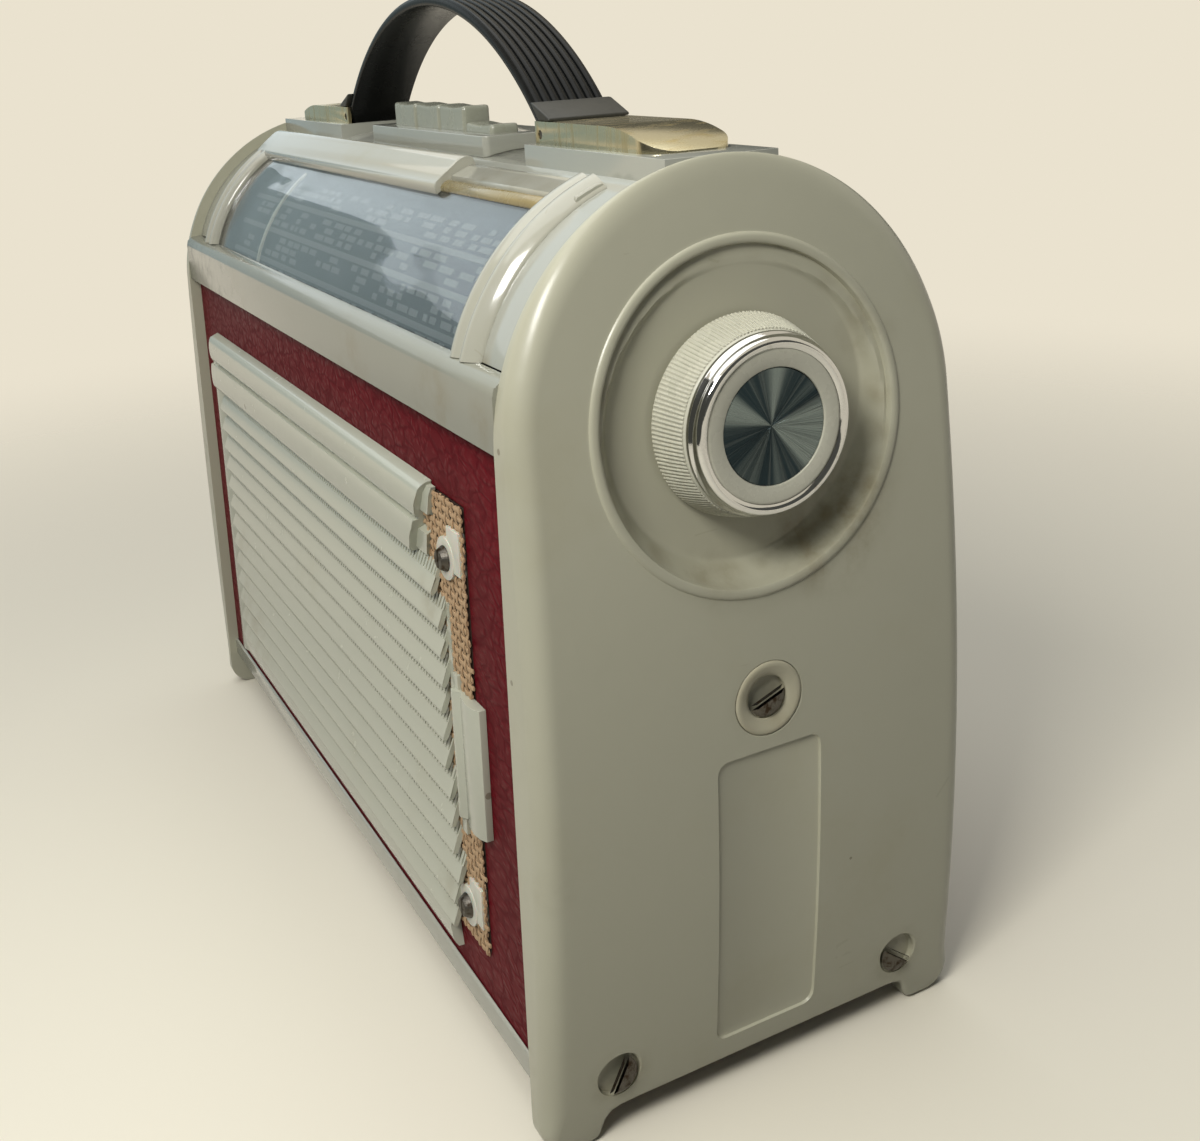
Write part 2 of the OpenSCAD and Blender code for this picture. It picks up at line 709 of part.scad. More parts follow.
// Handle
module handle_strap() {
    groove = strap_w / (strap_grooves * 2 + 2);
    r0 = strap_r - strap_t;
    end_a = asin(66.5 / strap_r);
    color(dark) difference() {
        translate([0, 0, strap_z]) rotate([90, 0, 0]) rotate([0, 0, 90 - end_a])
            rotate_extrude(angle = 2 * end_a, $fn = 200) difference() {
                translate([r0, -strap_w / 2]) square([strap_t, strap_w]);
                for (i = [0:strap_grooves - 1])
                    translate([strap_r - 0.5, -strap_w / 2 + (2 * i + 1.5) * groove]) square([1, groove]);
            }
        translate([-100, -20, plinth_top - 20]) cube([200, 40, 20.3]);
        strap_pin_holes();
    }
}

pin_z = plinth_top + 1.9;
pin_r = 0.9;
pin_x = sqrt(pow(strap_r - strap_t / 2, 2) - pow(pin_z - strap_z, 2));

module strap_pin_holes() {
    for (s = [-1, 1]) translate([s * pin_x, 15, pin_z]) rotate([90, 0, 0])
        cylinder(r = pin_r + 0.05, h = 30, $fn = 32);
}

module strap_pins() {
    color(steel) for (s = [-1, 1])
        translate([s * pin_x, hood_half - 0.2, pin_z]) rotate([90, 0, 0])
            cylinder(r = pin_r, h = 2 * hood_half - 0.4, $fn = 32);
}

hood_mouth = 6.8;

module hood_outline(d) {
    // Side view: flat top that curves down to the nose
    r = 40;
    x_bend = hood_x1 - 18;
    intersection() {
        translate([hood_x0 - 1, 0]) square([hood_x1 - hood_x0 + 1 - d, hood_h - d]);
        union() {
            translate([hood_x0 - 2, -1]) square([x_bend - hood_x0 + 2, hood_h + 2]);
            translate([x_bend, hood_h - r]) circle(r - d, $fn = 160);
        }
    }
}

module hood_plan(d) {
    r = 6;
    union() {
        translate([hood_x0 - 2, -hood_half + d])
            square([hood_x1 - hood_x0 + 2 - r, 2 * hood_half - 2 * d]);
        translate([hood_x0 - 2, -hood_half + r])
            square([hood_x1 - hood_x0 + 2 - d, 2 * hood_half - 2 * r]);
        for (s = [-1, 1]) translate([hood_x1 - r, s * (hood_half - r)]) circle(r - d, $fn = 48);
    }
}

module handle_hood() {
    difference() {
        intersection() {
            translate([0, 15, plinth_top]) rotate([90, 0, 0]) linear_extrude(30) hood_outline(0);
            translate([0, 0, plinth_top - 1]) linear_extrude(20) hood_plan(0);
            translate([hood_x0, -20, 0]) cube([80, 40, 300]);
        }
        intersection() {
            translate([0, 15, plinth_top - 0.01]) rotate([90, 0, 0])
                linear_extrude(30) hood_outline(hood_t);
            translate([0, 0, plinth_top - 1]) linear_extrude(20) hood_plan(hood_t);
        }
        translate([hood_x0 - 1, -hood_half + hood_t, plinth_top + 1])
            cube([hood_mouth + 1, 2 * hood_half - 2 * hood_t, 10]);
        strap_pin_holes();
    }
}

module handle_hood_right() {
    color(chrome) handle_hood();
}

module handle_hood_left() {
    color(chrome) left_hand() handle_hood();
}

module handle_collar() {
    x0 = hood_x0 - 1.5;
    x1 = hood_x0 + hood_mouth - 0.2;
    top = plinth_top + hood_h;
    inner = hood_half - hood_t - 0.15;
    difference() {
        union() {
            translate([0, hood_half, 0]) rotate([90, 0, 0]) linear_extrude(2 * hood_half)
                polygon([[x0 - 2, top + 0.1], [x0 - 2, top + 3.9], [x0 + 0.6, top + 3.7], [x1, top + 0.7],
                    [x1, top + 0.1]]);
            translate([0, inner, 0]) rotate([90, 0, 0]) linear_extrude(2 * inner)
                polygon([[x0, plinth_top + 0.3], [x0, top + 0.2], [x1, top + 0.2], [x1, plinth_top + 0.3]]);
        }
        translate([0, 20, strap_z]) rotate([90, 0, 0]) cylinder(r = strap_r + 0.05, h = 40, $fn = 200);
        strap_pin_holes();
    }
}

module handle_collar_right() {
    color(dark) handle_collar();
}

module handle_collar_left() {
    color(dark) left_hand() handle_collar();
}

// Speaker grille. Depths in the leaning frame: the leatherette lies at inset, and the grille's
// crests stay just inside the caps' outline.
louvre_pitch = (grille_z[1] - top_rail_h - grille_z[0] - low_rail_h) / louvres;
louvre_z0 = grille_z[0] + low_rail_h;
back_y = inset - 0.05;

// One louvre: a leaning blade whose lower edge stands proud.
module louvre(x0, x1) {
    p = louvre_pitch;
    bar_x([[0.1, 0.5], [0.35, -0.1], [1.3, -0.35], [2.2, 0.2], [back_y, p * 0.4], [back_y, p + 0.2],
        [2.2, p + 0.2]], x0, x1);
}

// The louvres' broken ends, from the top louvre down
broken_steps = [-3.6, -0.4, 0.4, 0.2, -1.2, -1.6, -1, -0.6, -0.2, 0.3, 1.2, -1.4, -3.2, -1];
function ragged(i) = broken_x + broken_steps[i % 14];
grille_screw_r = 1.5;
standoff_r = 4.4;
standoff_h = 1.4;

module screw_post(x, z, r, y0, y1) {
    translate([x, y0, z]) rotate([-90, 0, 0]) cylinder(r = r, h = y1 - y0, $fn = 32);
}

module speaker_grille() {
    left = -grille_half;
    top_z = grille_z[1] - top_rail_h;
    rail_end = broken_x - 9;
    ridge = 4.6;
    color(ivory) on_front() difference() {
        union() {
            difference() {
                for (i = [0:louvres - 1]) translate([0, 0, top_z - (i + 1) * louvre_pitch])
                    louvre(left + border_w - 0.5, ragged(i));
                for (x = [left + border_w + 4:notch_pitch:broken_x - 6])
                    translate([x, -1, louvre_z0 - 3]) cube([0.9, 1.35, top_z - louvre_z0]);
            }
            // Top rail with two rounded ridges
            translate([0, 0, top_z]) intersection() {
                bar_x([[back_y, 0], [1.4, 0], [-0.3, 1.2], [-0.3, top_rail_h - 3],
                    [1.2, top_rail_h - 0.8], [back_y, top_rail_h]], left, rail_end);
                union() {
                    rod_x(ridge, left, rail_end, ridge - 0.2, ridge);
                    rod_x(ridge, left, rail_end, ridge - 0.2, ridge + 6.8);
                    translate([left, 1.3, 0]) cube([rail_end - left, 4, top_rail_h]);
                }
            }
            // Stub of the rail beside the upper screw
            translate([rail_end - 1, 1.3, top_z + 0.6]) cube([5, back_y - 1.3, top_rail_h - 3]);
            // Bottom rail
            bar_x([[back_y, grille_z[0]], [1.6, grille_z[0] + 0.4], [0.9, grille_z[0] + 2],
                [0.7, grille_z[0] + 4.6], [1.3, louvre_z0], [back_y, louvre_z0 + 0.1]],
                left, broken_x - 6);
            // Left border
            translate([left, 0, grille_z[0] + 1]) linear_extrude(grille_z[1] - grille_z[0] - 4)
                polygon([[0, back_y], [0.6, 1.2], [2, 0.4], [5, 0.6], [border_w, 1.4], [border_w, back_y]]);
            // Strip that joins the louvres' right ends from behind
            translate([broken_x - 12, 2, grille_z[0] + 3]) cube([2, back_y - 2, top_z - grille_z[0]]);
            for (z = grille_screw_z) screw_post(-grille_screw_x, z, 4, 1.6, back_y);
        }
        for (z = grille_screw_z) {
            screw_post(-grille_screw_x, z, grille_screw_r + screw_gap, 1.6, 6);
            screw_post(grille_screw_x, z, standoff_r + 0.3, -1, 6);
        }
    }
}

// The one piece of the right border that is still in place
module grille_border_piece() {
    z0 = 56;
    z1 = 84;
    w = 13.1;
    x0 = grille_half - w;
    color(ivory) on_front() union() {
        translate([x0, 0, z0]) linear_extrude(z1 - z0)
            polygon([[0, back_y], [0, 1.5], [0.8, 0.7], [1.8, 0.6], [2.6, 1.2], [3.6, 1.7], [5.2, 0.9],
                [w - 4.1, 0.4], [w - 1.7, 0.7], [w, 1.5], [w, back_y]]);
        translate([x0, 1.6, z0 - 4]) cube([2.4, back_y - 1.6, z1 - z0 + 7]);
    }
}

module grille_standoffs() {
    color([0.92, 0.91, 0.86]) on_front() for (z = grille_screw_z) difference() {
        union() {
            screw_post(grille_screw_x, z, standoff_r, inset - standoff_h, inset + 0.2);
            translate([grille_screw_x + 1, inset - standoff_h + 0.2, z - 2]) cube([6, standoff_h, 9]);
        }
        screw_post(grille_screw_x, z, grille_screw_r + screw_gap, -10, 20);
    }
}

// Two screws hold the standoffs from the front, two hold the grille from behind the baffle.
module grille_screws() {
    head_h = 1.5;
    front = inset - standoff_h;
    color(steel) on_front() for (z = grille_screw_z) {
        difference() {
            union() {
                translate([grille_screw_x, front - head_h, z]) rotate([-90, 0, 0])
                    cylinder(r1 = 1.9, r2 = 2.7, h = head_h, $fn = 32);
                screw_post(grille_screw_x, z, grille_screw_r, front, baffle_y - 0.5);
            }
            translate([grille_screw_x - 0.35, front - head_h - 1, z - 4]) cube([0.7, 1.6, 8]);
        }
        screw_post(-grille_screw_x, z, grille_screw_r, 1.7, baffle_y + 0.1);
        screw_post(-grille_screw_x, z, 2.8, baffle_y, baffle_y + head_h);
    }
}

// Cloth, baffle and speaker
module speaker_cloth() {
    g = 0.1;
    color([0.52, 0.36, 0.20]) on_front() difference() {
        translate([-cloth_half + g, inset + 0.2, cloth_z[0] + g])
            cube([2 * cloth_half - 2 * g, 0.8, cloth_z[1] - cloth_z[0] - 2 * g]);
        for (s = [-1, 1]) for (z = grille_screw_z)
            screw_post(s * grille_screw_x, z, grille_screw_r + screw_gap, 0, 8);
    }
}

module speaker_baffle() {
    g = 0.1;
    lap = 7;
    color([0.45, 0.33, 0.20]) on_front() difference() {
        union() {
            translate([-cloth_half + g, inset + 1, cloth_z[0] + g])
                cube([2 * cloth_half - 2 * g, panel_t - 1 + 0.1, cloth_z[1] - cloth_z[0] - 2 * g]);
            translate([-cloth_half - lap, inset + panel_t, cloth_z[0] - lap])
                cube([2 * (cloth_half + lap), 2.5, cloth_z[1] - cloth_z[0] + 2 * lap]);
        }
        translate([0, 0, speaker_z]) rotate([-90, 0, 0]) cylinder(r = speaker_r - 5, h = 20);
        for (s = [-1, 1]) for (z = grille_screw_z)
            screw_post(s * grille_screw_x, z, grille_screw_r + screw_gap, 0, 20);
    }
}

module speaker_at() {
    on_front() translate([0, baffle_y, speaker_z]) rotate([-90, 0, 0]) children();
}

module speaker_frame() {
    color(steel) speaker_at() rotate_extrude()
        polygon([[speaker_r - 6, 0], [speaker_r, 0], [speaker_r, 1.4], [speaker_r - 4, 1.4],
            [magnet_r - 1, basket_h], [8, basket_h], [8, basket_h - 1.2], [magnet_r - 2, basket_h - 1.2],
            [speaker_r - 6, 1.4]]);
}

module speaker_cone() {
    color([0.10, 0.10, 0.09]) speaker_at() rotate_extrude()
        polygon([[speaker_r - 6.2, 0.3], [speaker_r - 6.2, 1.2], [10, basket_h - 5.5],
            [10, basket_h - 1.5], [9.2, basket_h - 1.5], [9.2, basket_h - 6.2], [0, basket_h - 8],
            [0, basket_h - 8.8], [10, basket_h - 7.2], [speaker_r - 8, 0.3]]);
}

module speaker_magnet() {
    color([0.35, 0.36, 0.38]) speaker_at() translate([0, 0, basket_h]) difference() {
        cylinder(r = magnet_r, h = magnet_h);
        translate([0, 0, -1]) cylinder(r = 7.8, h = 5);
    }
}

// Knobs. Everything here turns about X at knob_z.
module knob_body() {
    front = ring_x + 2.9;
    difference() {
        union() {
            translate([skirt_x, 0, knob_z]) rotate([0, 90, 0]) linear_extrude(skirt_len, scale = 0.9)
                polygon([for (i = [0:2 * flutes - 1])
                    let (a = 180 * i / flutes, r = skirt_r - (i % 2) * 0.55) [r * cos(a), r * sin(a)]]);
            rod_x(flat_r - 0.02, ring_x - 0.5, front, 0, knob_z);
        }
        rod_x(disc_r + 0.02, front - 1.6, front + 1, 0, knob_z);
        rod_x(shaft_r + push_gap, skirt_x - 1, ring_x + 0.5, 0, knob_z);
        turned_x([[shaft_r + 3, skirt_x - 1], [skirt_r - 3, skirt_x - 1], [skirt_r - 4, skirt_x + 5],
            [shaft_r + 3.4, skirt_x + 5]], 0, knob_z);
    }
}

module knob_ring() {
    turned_x([[flat_r, ring_x], [ring_r + 0.6, ring_x], [ring_r + 0.6, ring_x + 1], [ring_r, ring_x + 1.4],
        [ring_r - 0.1, ring_x + 2.6], [ring_r - 0.9, ring_x + 3.4], [flat_r, ring_x + 3.1]], 0, knob_z);
}

module knob_disc() {
    front = ring_x + 2.9;
    turned_x([[0, front - 1.58], [disc_r, front - 1.58], [disc_r, front - 0.5],
        [disc_r - 0.5, front - 0.35], [0, front - 1.1]], 0, knob_z);
}

module tuning_knob() {
    color(cream) knob_body();
}

module tuning_knob_ring() {
    color(chrome) knob_ring();
}

module tuning_knob_disc() {
    color([0.55, 0.56, 0.55]) knob_disc();
}

module tuning_shaft() {
    color(steel) union() {
        rod_x(shaft_r, drum_x - 3, ring_x + 0.3, 0, knob_z);
        turned_x([[0, drum_x - 1.5], [spindle_r + 1, drum_x - 1.5], [spindle_r, drum_x],
            [spindle_r, drum_x + 4], [spindle_r + 1, drum_x + 5.5], [0, drum_x + 5.5]], 0, knob_z);
    }
}

module volume_knob() {
    color(cream) left_hand() knob_body();
}

module volume_knob_ring() {
    color(chrome) left_hand() knob_ring();
}

module volume_knob_disc() {
    color([0.55, 0.56, 0.55]) left_hand() knob_disc();
}

module volume_shaft() {
    color(steel) left_hand() rod_x(shaft_r, tab_x - 6, ring_x + 0.3, 0, knob_z);
}

module volume_control() {
    color([0.40, 0.34, 0.22]) left_hand() difference() {
        union() {
            rod_x(9, tab_x - 12, tab_x, 0, knob_z + 3.1);
            rod_x(5, tab_x + chassis_t, tab_x + 4, 0, knob_z);
            rod_x(3.9, tab_x - 1, tab_x + 3, 0, knob_z);
        }
        rod_x(shaft_r + shaft_gap, tab_x - 7, tab_x + 10, 0, knob_z);
    }
}

// Chassis and what it carries
module chassis() {
    low = mid_screw_z - 14;
    color([0.60, 0.60, 0.56]) difference() {
        union() {
            translate([-flange_x - chassis_t, -30, chassis_z - chassis_t])
                cube([2 * (flange_x + chassis_t), 60, chassis_t]);
            for (s = [0, 1]) mirror([s, 0, 0]) {
                translate([flange_x, -20, low]) cube([chassis_t, 40, chassis_z - low]);
                rod_x(4.5, flange_x - 4, flange_x + 0.1, 0, mid_screw_z);
                translate([tab_x, -8, chassis_z - 0.1]) cube([chassis_t, 16, 16]);
            }
        }
        for (s = [0, 1]) mirror([s, 0, 0])
            rod_x(shank_r + screw_gap, flange_x - 6, flange_x + 3, 0, mid_screw_z);
        rod_x(shaft_r + shaft_gap, tab_x - 1, tab_x + 3, 0, knob_z);
        rod_x(3.95, -tab_x - 3, -tab_x + 1, 0, knob_z);
        // Slot for the drive cord
        translate([drum_x - 0.5, -13, chassis_z - 3]) cube([5, 27, 6]);
    }
}

board_y = 10;
board_t = 1.6;
board_low = 88;
board_x = [-x_in + 14, gang_x[0] - 8];

module circuit_board() {
    color([0.33, 0.22, 0.10]) translate([board_x[0], board_y, board_low])
        cube([board_x[1] - board_x[0], board_t, chassis_z - chassis_t - board_low]);
}

module if_cans() {
    color([0.70, 0.70, 0.68]) for (x = [12, 40, 68])
        translate([board_x[0] + x, board_y + board_t, board_low + 18]) cube([10, 14, 10]);
}

module transformers() {
    color([0.28, 0.26, 0.24]) for (x = [board_x[1] - 48, board_x[1] - 24]) union() {
        translate([x, board_y + board_t, board_low + 16]) cube([18, 14, 16]);
        translate([x - 1, board_y + board_t + 1, board_low + 20]) cube([20, 12, 8]);
    }
}

rod_half = x_in - 30;

module ferrite_rod() {
    color([0.16, 0.16, 0.17]) rod_x(rod_r, -rod_half, rod_half, rod_yz[0], rod_yz[1]);
}

module ferrite_coils() {
    color([0.66, 0.38, 0.16]) for (x = [22 - rod_half, rod_half - 50]) difference() {
        rod_x(rod_r + 1.4, x, x + 26, rod_yz[0], rod_yz[1]);
        rod_x(rod_r + 0.05, x - 1, x + 27, rod_yz[0], rod_yz[1]);
    }
}

module rod_holders() {
    color([0.75, 0.74, 0.68]) for (x = [8 - rod_half, rod_half - 14]) difference() {
        union() {
            translate([x, rod_yz[0] - 4, chassis_z]) cube([6, 8, rod_yz[1] - chassis_z]);
            rod_x(rod_r + 2, x, x + 6, rod_yz[0], rod_yz[1]);
        }
        rod_x(rod_r + 0.05, x - 1, x + 7, rod_yz[0], rod_yz[1]);
    }
}

gang_half = 14.5;
plate_pitch = 4;
// How far the rotor has turned from the end of its half turn when the pointer stands as drawn
rest_turn = (pointer_x + drum_r * PI / 2) / drum_r * 180 / PI;

module capacitor_frame() {
    top = chassis_z - chassis_t;
    y = gang_yz[0];
    low = gang_yz[1] - gang_half;
    color([0.66, 0.64, 0.58]) difference() {
        union() {
            for (x = [gang_x[0], gang_x[1] - 1.5])
                translate([x, y - gang_half, low]) cube([1.5, 2 * gang_half, top - low]);
            translate([gang_x[0], y - gang_half, top - 1.5])
                cube([gang_x[1] - gang_x[0], 2 * gang_half, 1.5]);
            // Fixed plates, on the lower side
            for (x = [gang_x[0] + 4:plate_pitch:gang_x[1] - 6])
                translate([x, y - 12, low]) cube([0.8, 24, 11]);
            translate([gang_x[0], y - 12, low - 1.5]) cube([gang_x[1] - gang_x[0], 24, 1.6]);
        }
        rod_x(gang_shaft_r + shaft_gap, gang_x[0] - 1, gang_x[1] + 1, y, gang_yz[1]);
    }
}

module capacitor_rotor() {
    y = gang_yz[0];
    color([0.74, 0.73, 0.68]) union() {
        rod_x(gang_shaft_r, gang_x[0] - 1, drum_x + 3.5, y, gang_yz[1]);
        translate([0, y, gang_yz[1]]) rotate([-rest_turn, 0, 0])
            for (x = [gang_x[0] + 4 + plate_pitch / 2:plate_pitch:gang_x[1] - 6]) intersection() {
                rod_x(11.5, x, x + 0.8);
                translate([x - 1, -20, -0.5]) cube([3, 40, 20]);
            }
    }
}

module drive_drum() {
    groove = 1.2;
    color([0.80, 0.78, 0.70]) difference() {
        turned_x([[0, drum_x - 2.6], [6, drum_x - 2.6], [6, drum_x], [drum_r, drum_x],
            [drum_r - groove, drum_x + 1.5], [drum_r - groove, drum_x + 2.5], [drum_r, drum_x + 4],
            [0, drum_x + 4]], gang_yz[0], gang_yz[1]);
        rod_x(gang_shaft_r + push_gap, drum_x - 3, drum_x + 5, gang_yz[0], gang_yz[1]);
    }
}

// Batteries
battery_gap = 3;
tray_wall = 1.2;
battery_y = half_depth(case_bottom + bottom_t + battery[2]) - inset - panel_t - battery[1] - 1.35;

module battery_tray() {
    top = case_bottom + bottom_t;
    w = 2 * battery[0] + 2 * battery_gap + 1;
    color([0.30, 0.30, 0.28]) difference() {
        translate([-w / 2 - tray_wall, battery_y - tray_wall - 0.3, top])
            cube([w + 2 * tray_wall, battery[1] + 2 * tray_wall + 0.4, 26]);
        translate([-w / 2, battery_y - 0.3, top + tray_wall]) cube([w, battery[1] + 0.4, 60]);
    }
}

module batteries() {
    z = case_bottom + bottom_t + tray_wall;
    color([0.22, 0.34, 0.52]) for (s = [-1, 1])
        translate([s > 0 ? battery_gap : -battery_gap - battery[0], battery_y, z]) cube(battery);
}

module battery_contacts() {
    z = case_bottom + bottom_t + tray_wall + battery[2];
    strip = battery[0] - 2;
    color([0.72, 0.60, 0.34]) union() {
        translate([-strip, board_y + board_t, z + 5]) cube([board_x[1] - 2 + strip, 25, 1.6]);
        translate([-strip, battery_y + 1.2, z + 5]) cube([2 * strip, battery[1] - 5, 1.6]);
        for (x = [11, battery[0] - 8]) for (s = [-1, 1])
            translate([s * x, battery_y + battery[1] / 2, z]) cylinder(r = 2.2, h = 5.1, $fn = 32);
    }
}

end_cap_right();
end_cap_left();
cap_screws();
screw_collars();
front_panel();
back_panel();
bottom_panel();
front_trim();
rear_trim();
top_cover();
dial_sill();
dial_frame();
dial_lens();
dial_scale();
dial_pointer();
pointer_rail();
key_plinth();
key_1();
key_2();
key_3();
key_4();
key_switch();
handle_strap();
handle_hood_right();
handle_hood_left();
handle_collar_right();
handle_collar_left();
strap_pins();
speaker_grille();
grille_border_piece();
grille_standoffs();
grille_screws();
speaker_cloth();
speaker_baffle();
speaker_frame();
speaker_cone();
speaker_magnet();
tuning_knob();
tuning_knob_ring();
tuning_knob_disc();
tuning_shaft();
volume_knob();
volume_knob_ring();
volume_knob_disc();
volume_shaft();
volume_control();
chassis();
circuit_board();
if_cans();
transformers();
ferrite_rod();
ferrite_coils();
rod_holders();
capacitor_frame();
capacitor_rotor();
drive_drum();
battery_tray();
batteries();
battery_contacts();
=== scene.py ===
"""A portable transistor radio of about 1960 in a plain studio.

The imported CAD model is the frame. Each section below takes one piece of the radio, or a group of like
pieces, in the order in which the radio is put together, and gives it its finished form and surface.
+X is the end with the tuning knob, -Y the front, +Z up. Sizes in the sections are millimetres.
"""
import math
import random

import bmesh
import bpy
from mathutils import Matrix, Vector


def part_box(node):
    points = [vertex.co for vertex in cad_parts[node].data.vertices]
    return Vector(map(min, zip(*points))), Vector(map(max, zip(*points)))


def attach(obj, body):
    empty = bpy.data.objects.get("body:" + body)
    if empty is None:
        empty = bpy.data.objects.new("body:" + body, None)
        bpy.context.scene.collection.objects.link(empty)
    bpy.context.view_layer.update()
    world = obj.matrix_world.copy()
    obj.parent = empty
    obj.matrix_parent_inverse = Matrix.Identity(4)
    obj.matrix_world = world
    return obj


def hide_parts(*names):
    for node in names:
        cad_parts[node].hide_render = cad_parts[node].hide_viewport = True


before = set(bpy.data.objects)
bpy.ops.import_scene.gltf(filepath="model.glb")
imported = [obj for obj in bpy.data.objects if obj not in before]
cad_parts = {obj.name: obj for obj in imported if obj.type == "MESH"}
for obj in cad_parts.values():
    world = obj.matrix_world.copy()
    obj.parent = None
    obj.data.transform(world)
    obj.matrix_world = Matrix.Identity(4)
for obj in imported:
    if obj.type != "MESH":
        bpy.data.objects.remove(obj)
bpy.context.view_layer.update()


# End caps: two injection-moulded cream caps, 10.5 mm thick at the crown, with a sunk well for the knob,
# a shallow bare panel, a seat for the screw's collar and two feet. They clamp the case from its ends.
MM = 0.001
X_IN = 118.0
FOOT_HALF, ARCH_R, SPRING_Z = 50.0, 47.9, 138.9
CROWN_R, CROWN_Z, FACE_X = 588.0, 80.0, 128.5
KNOB_Z = 139.5


def face_at(z):
    """Where the crowned face of a cap lies along X."""
    return FACE_X - CROWN_R + math.sqrt(CROWN_R ** 2 - (z - CROWN_Z) ** 2)


def half_depth(z):
    return FOOT_HALF - (FOOT_HALF - ARCH_R) * z / SPRING_Z


def node(tree, kind, inputs=None, **settings):
    """A node with its settings, and its inputs linked or set."""
    made = tree.nodes.new(kind)
    for key, value in settings.items():
        setattr(made, key, value)
    for key, value in (inputs or {}).items():
        if isinstance(value, bpy.types.NodeSocket):
            tree.links.new(value, made.inputs[key])
        else:
            made.inputs[key].default_value = value
    return made


def output(tree, kind, inputs, **settings):
    """The first output of a new node."""
    return node(tree, kind, inputs, **settings).outputs[0]


def math_node(tree, operation, a, b=0.0, clamp=False):
    return output(tree, "ShaderNodeMath", {0: a, 1: b}, operation=operation, use_clamp=clamp)


def noise(tree, place, scale, detail=2.0, **more):
    inputs = {"Vector": place, "Scale": scale, "Detail": detail, **more}
    return output(tree, "ShaderNodeTexNoise", inputs)


def remap(tree, value, low, high, to_low=0.0, to_high=1.0, smooth=True):
    return node(tree, "ShaderNodeMapRange",
                {"Value": value, "From Min": low, "From Max": high, "To Min": to_low, "To Max": to_high},
                interpolation_type="SMOOTHSTEP" if smooth else "LINEAR").outputs["Result"]


def mixed(tree, mask, a, b):
    """Colour a where the mask is 0 and colour b where it is 1."""
    made = tree.nodes.new("ShaderNodeMix")
    made.data_type = "RGBA"
    for key, value in ((0, mask), (6, a), (7, b)):
        if isinstance(value, bpy.types.NodeSocket):
            tree.links.new(value, made.inputs[key])
        else:
            made.inputs[key].default_value = value if key == 0 else (*value, 1)
    return made.outputs[2]


def effect(name, inputs, outputs, kind="ShaderNodeTree"):
    """A node group with named inputs (name, type, value) and outputs (name, type)."""
    tree = bpy.data.node_groups.new(name, kind)
    for label, sort, value in inputs:
        socket = tree.interface.new_socket(label, in_out="INPUT", socket_type="NodeSocket" + sort)
        if value is not None:
            socket.default_value = value
    for label, sort in outputs:
        tree.interface.new_socket(label, in_out="OUTPUT", socket_type="NodeSocket" + sort)
    return tree, tree.nodes.new("NodeGroupInput").outputs, tree.nodes.new("NodeGroupOutput").inputs


def placed(tree, group, **inputs):
    """The shared effect placed in a material, with this material's own values."""
    made = tree.nodes.new("ShaderNodeGroup")
    made.node_tree = group
    for key, value in inputs.items():
        socket = made.inputs[key.replace("_", " ")]
        if isinstance(value, bpy.types.NodeSocket):
            tree.links.new(value, socket)
        else:
            socket.default_value = value
    return made.outputs


# Soft patches, such as yellowing and handled places
blotches, g_in, g_out = effect(
    "Blotches",
    [("Vector", "Vector", None), ("Scale", "Float", 30.0), ("Cover", "Float", 0.5), ("Blur", "Float", 0.3)],
    [("Mask", "Float")])
g_noise = noise(blotches, g_in["Vector"], g_in["Scale"], 5.0, Roughness=0.6)
g_low = math_node(blotches, "SUBTRACT", 0.78, math_node(blotches, "MULTIPLY", g_in["Cover"], 0.6))
g_high = math_node(blotches, "ADD", g_low, g_in["Blur"])
blotches.links.new(remap(blotches, g_noise, g_low, g_high), g_out["Mask"])

# Small dark dots of dirt in a few places
specks, g_in, g_out = effect(
    "Specks",
    [("Vector", "Vector", None), ("Scale", "Float", 150.0), ("Share", "Float", 0.05), ("Size", "Float", 0.2)],
    [("Mask", "Float")])
g_cells = node(specks, "ShaderNodeTexVoronoi", {"Vector": g_in["Vector"], "Scale": g_in["Scale"]})
g_pick = output(specks, "ShaderNodeSeparateColor", {"Color": g_cells.outputs["Color"]})
g_pick = math_node(specks, "LESS_THAN", g_pick, g_in["Share"])
g_dot = math_node(specks, "LESS_THAN", g_cells.outputs["Distance"], g_in["Size"])
specks.links.new(math_node(specks, "MULTIPLY", g_pick, g_dot), g_out["Mask"])

# Hair-fine scratches from years of handling
scratches, g_in, g_out = effect(
    "Scratches",
    [("Vector", "Vector", None), ("Scale", "Float", 20.0), ("Width", "Float", 0.004)],
    [("Mask", "Float")])
g_wide = output(scratches, "ShaderNodeMapping",
                {"Vector": g_in["Vector"], "Rotation": (0.5, 0.3, 0.9), "Scale": (1.0, 0.25, 1.0)})
g_noise = noise(scratches, g_wide, g_in["Scale"], 3.0, Distortion=0.4)
g_line = math_node(scratches, "ABSOLUTE", math_node(scratches, "SUBTRACT", g_noise, 0.5))
g_line = math_node(scratches, "LESS_THAN", g_line, g_in["Width"])
g_part = math_node(scratches, "GREATER_THAN", noise(scratches, g_in["Vector"], 60.0), 0.66)
scratches.links.new(math_node(scratches, "MULTIPLY", g_line, g_part), g_out["Mask"])


def surface(name):
    """A new material with its node tree, its shader and the object's coordinates."""
    made = bpy.data.materials.new(name)
    made.use_nodes = True
    tree = made.node_tree
    place = node(tree, "ShaderNodeTexCoord").outputs["Object"]
    return made, tree, tree.nodes["Principled BSDF"], place


def bumped(tree, shader, height, distance):
    """Makes the surface's normal follow a height, over the given distance in metres."""
    bump = output(tree, "ShaderNodeBump", {"Height": height, "Distance": distance})
    tree.links.new(bump, shader.inputs["Normal"])


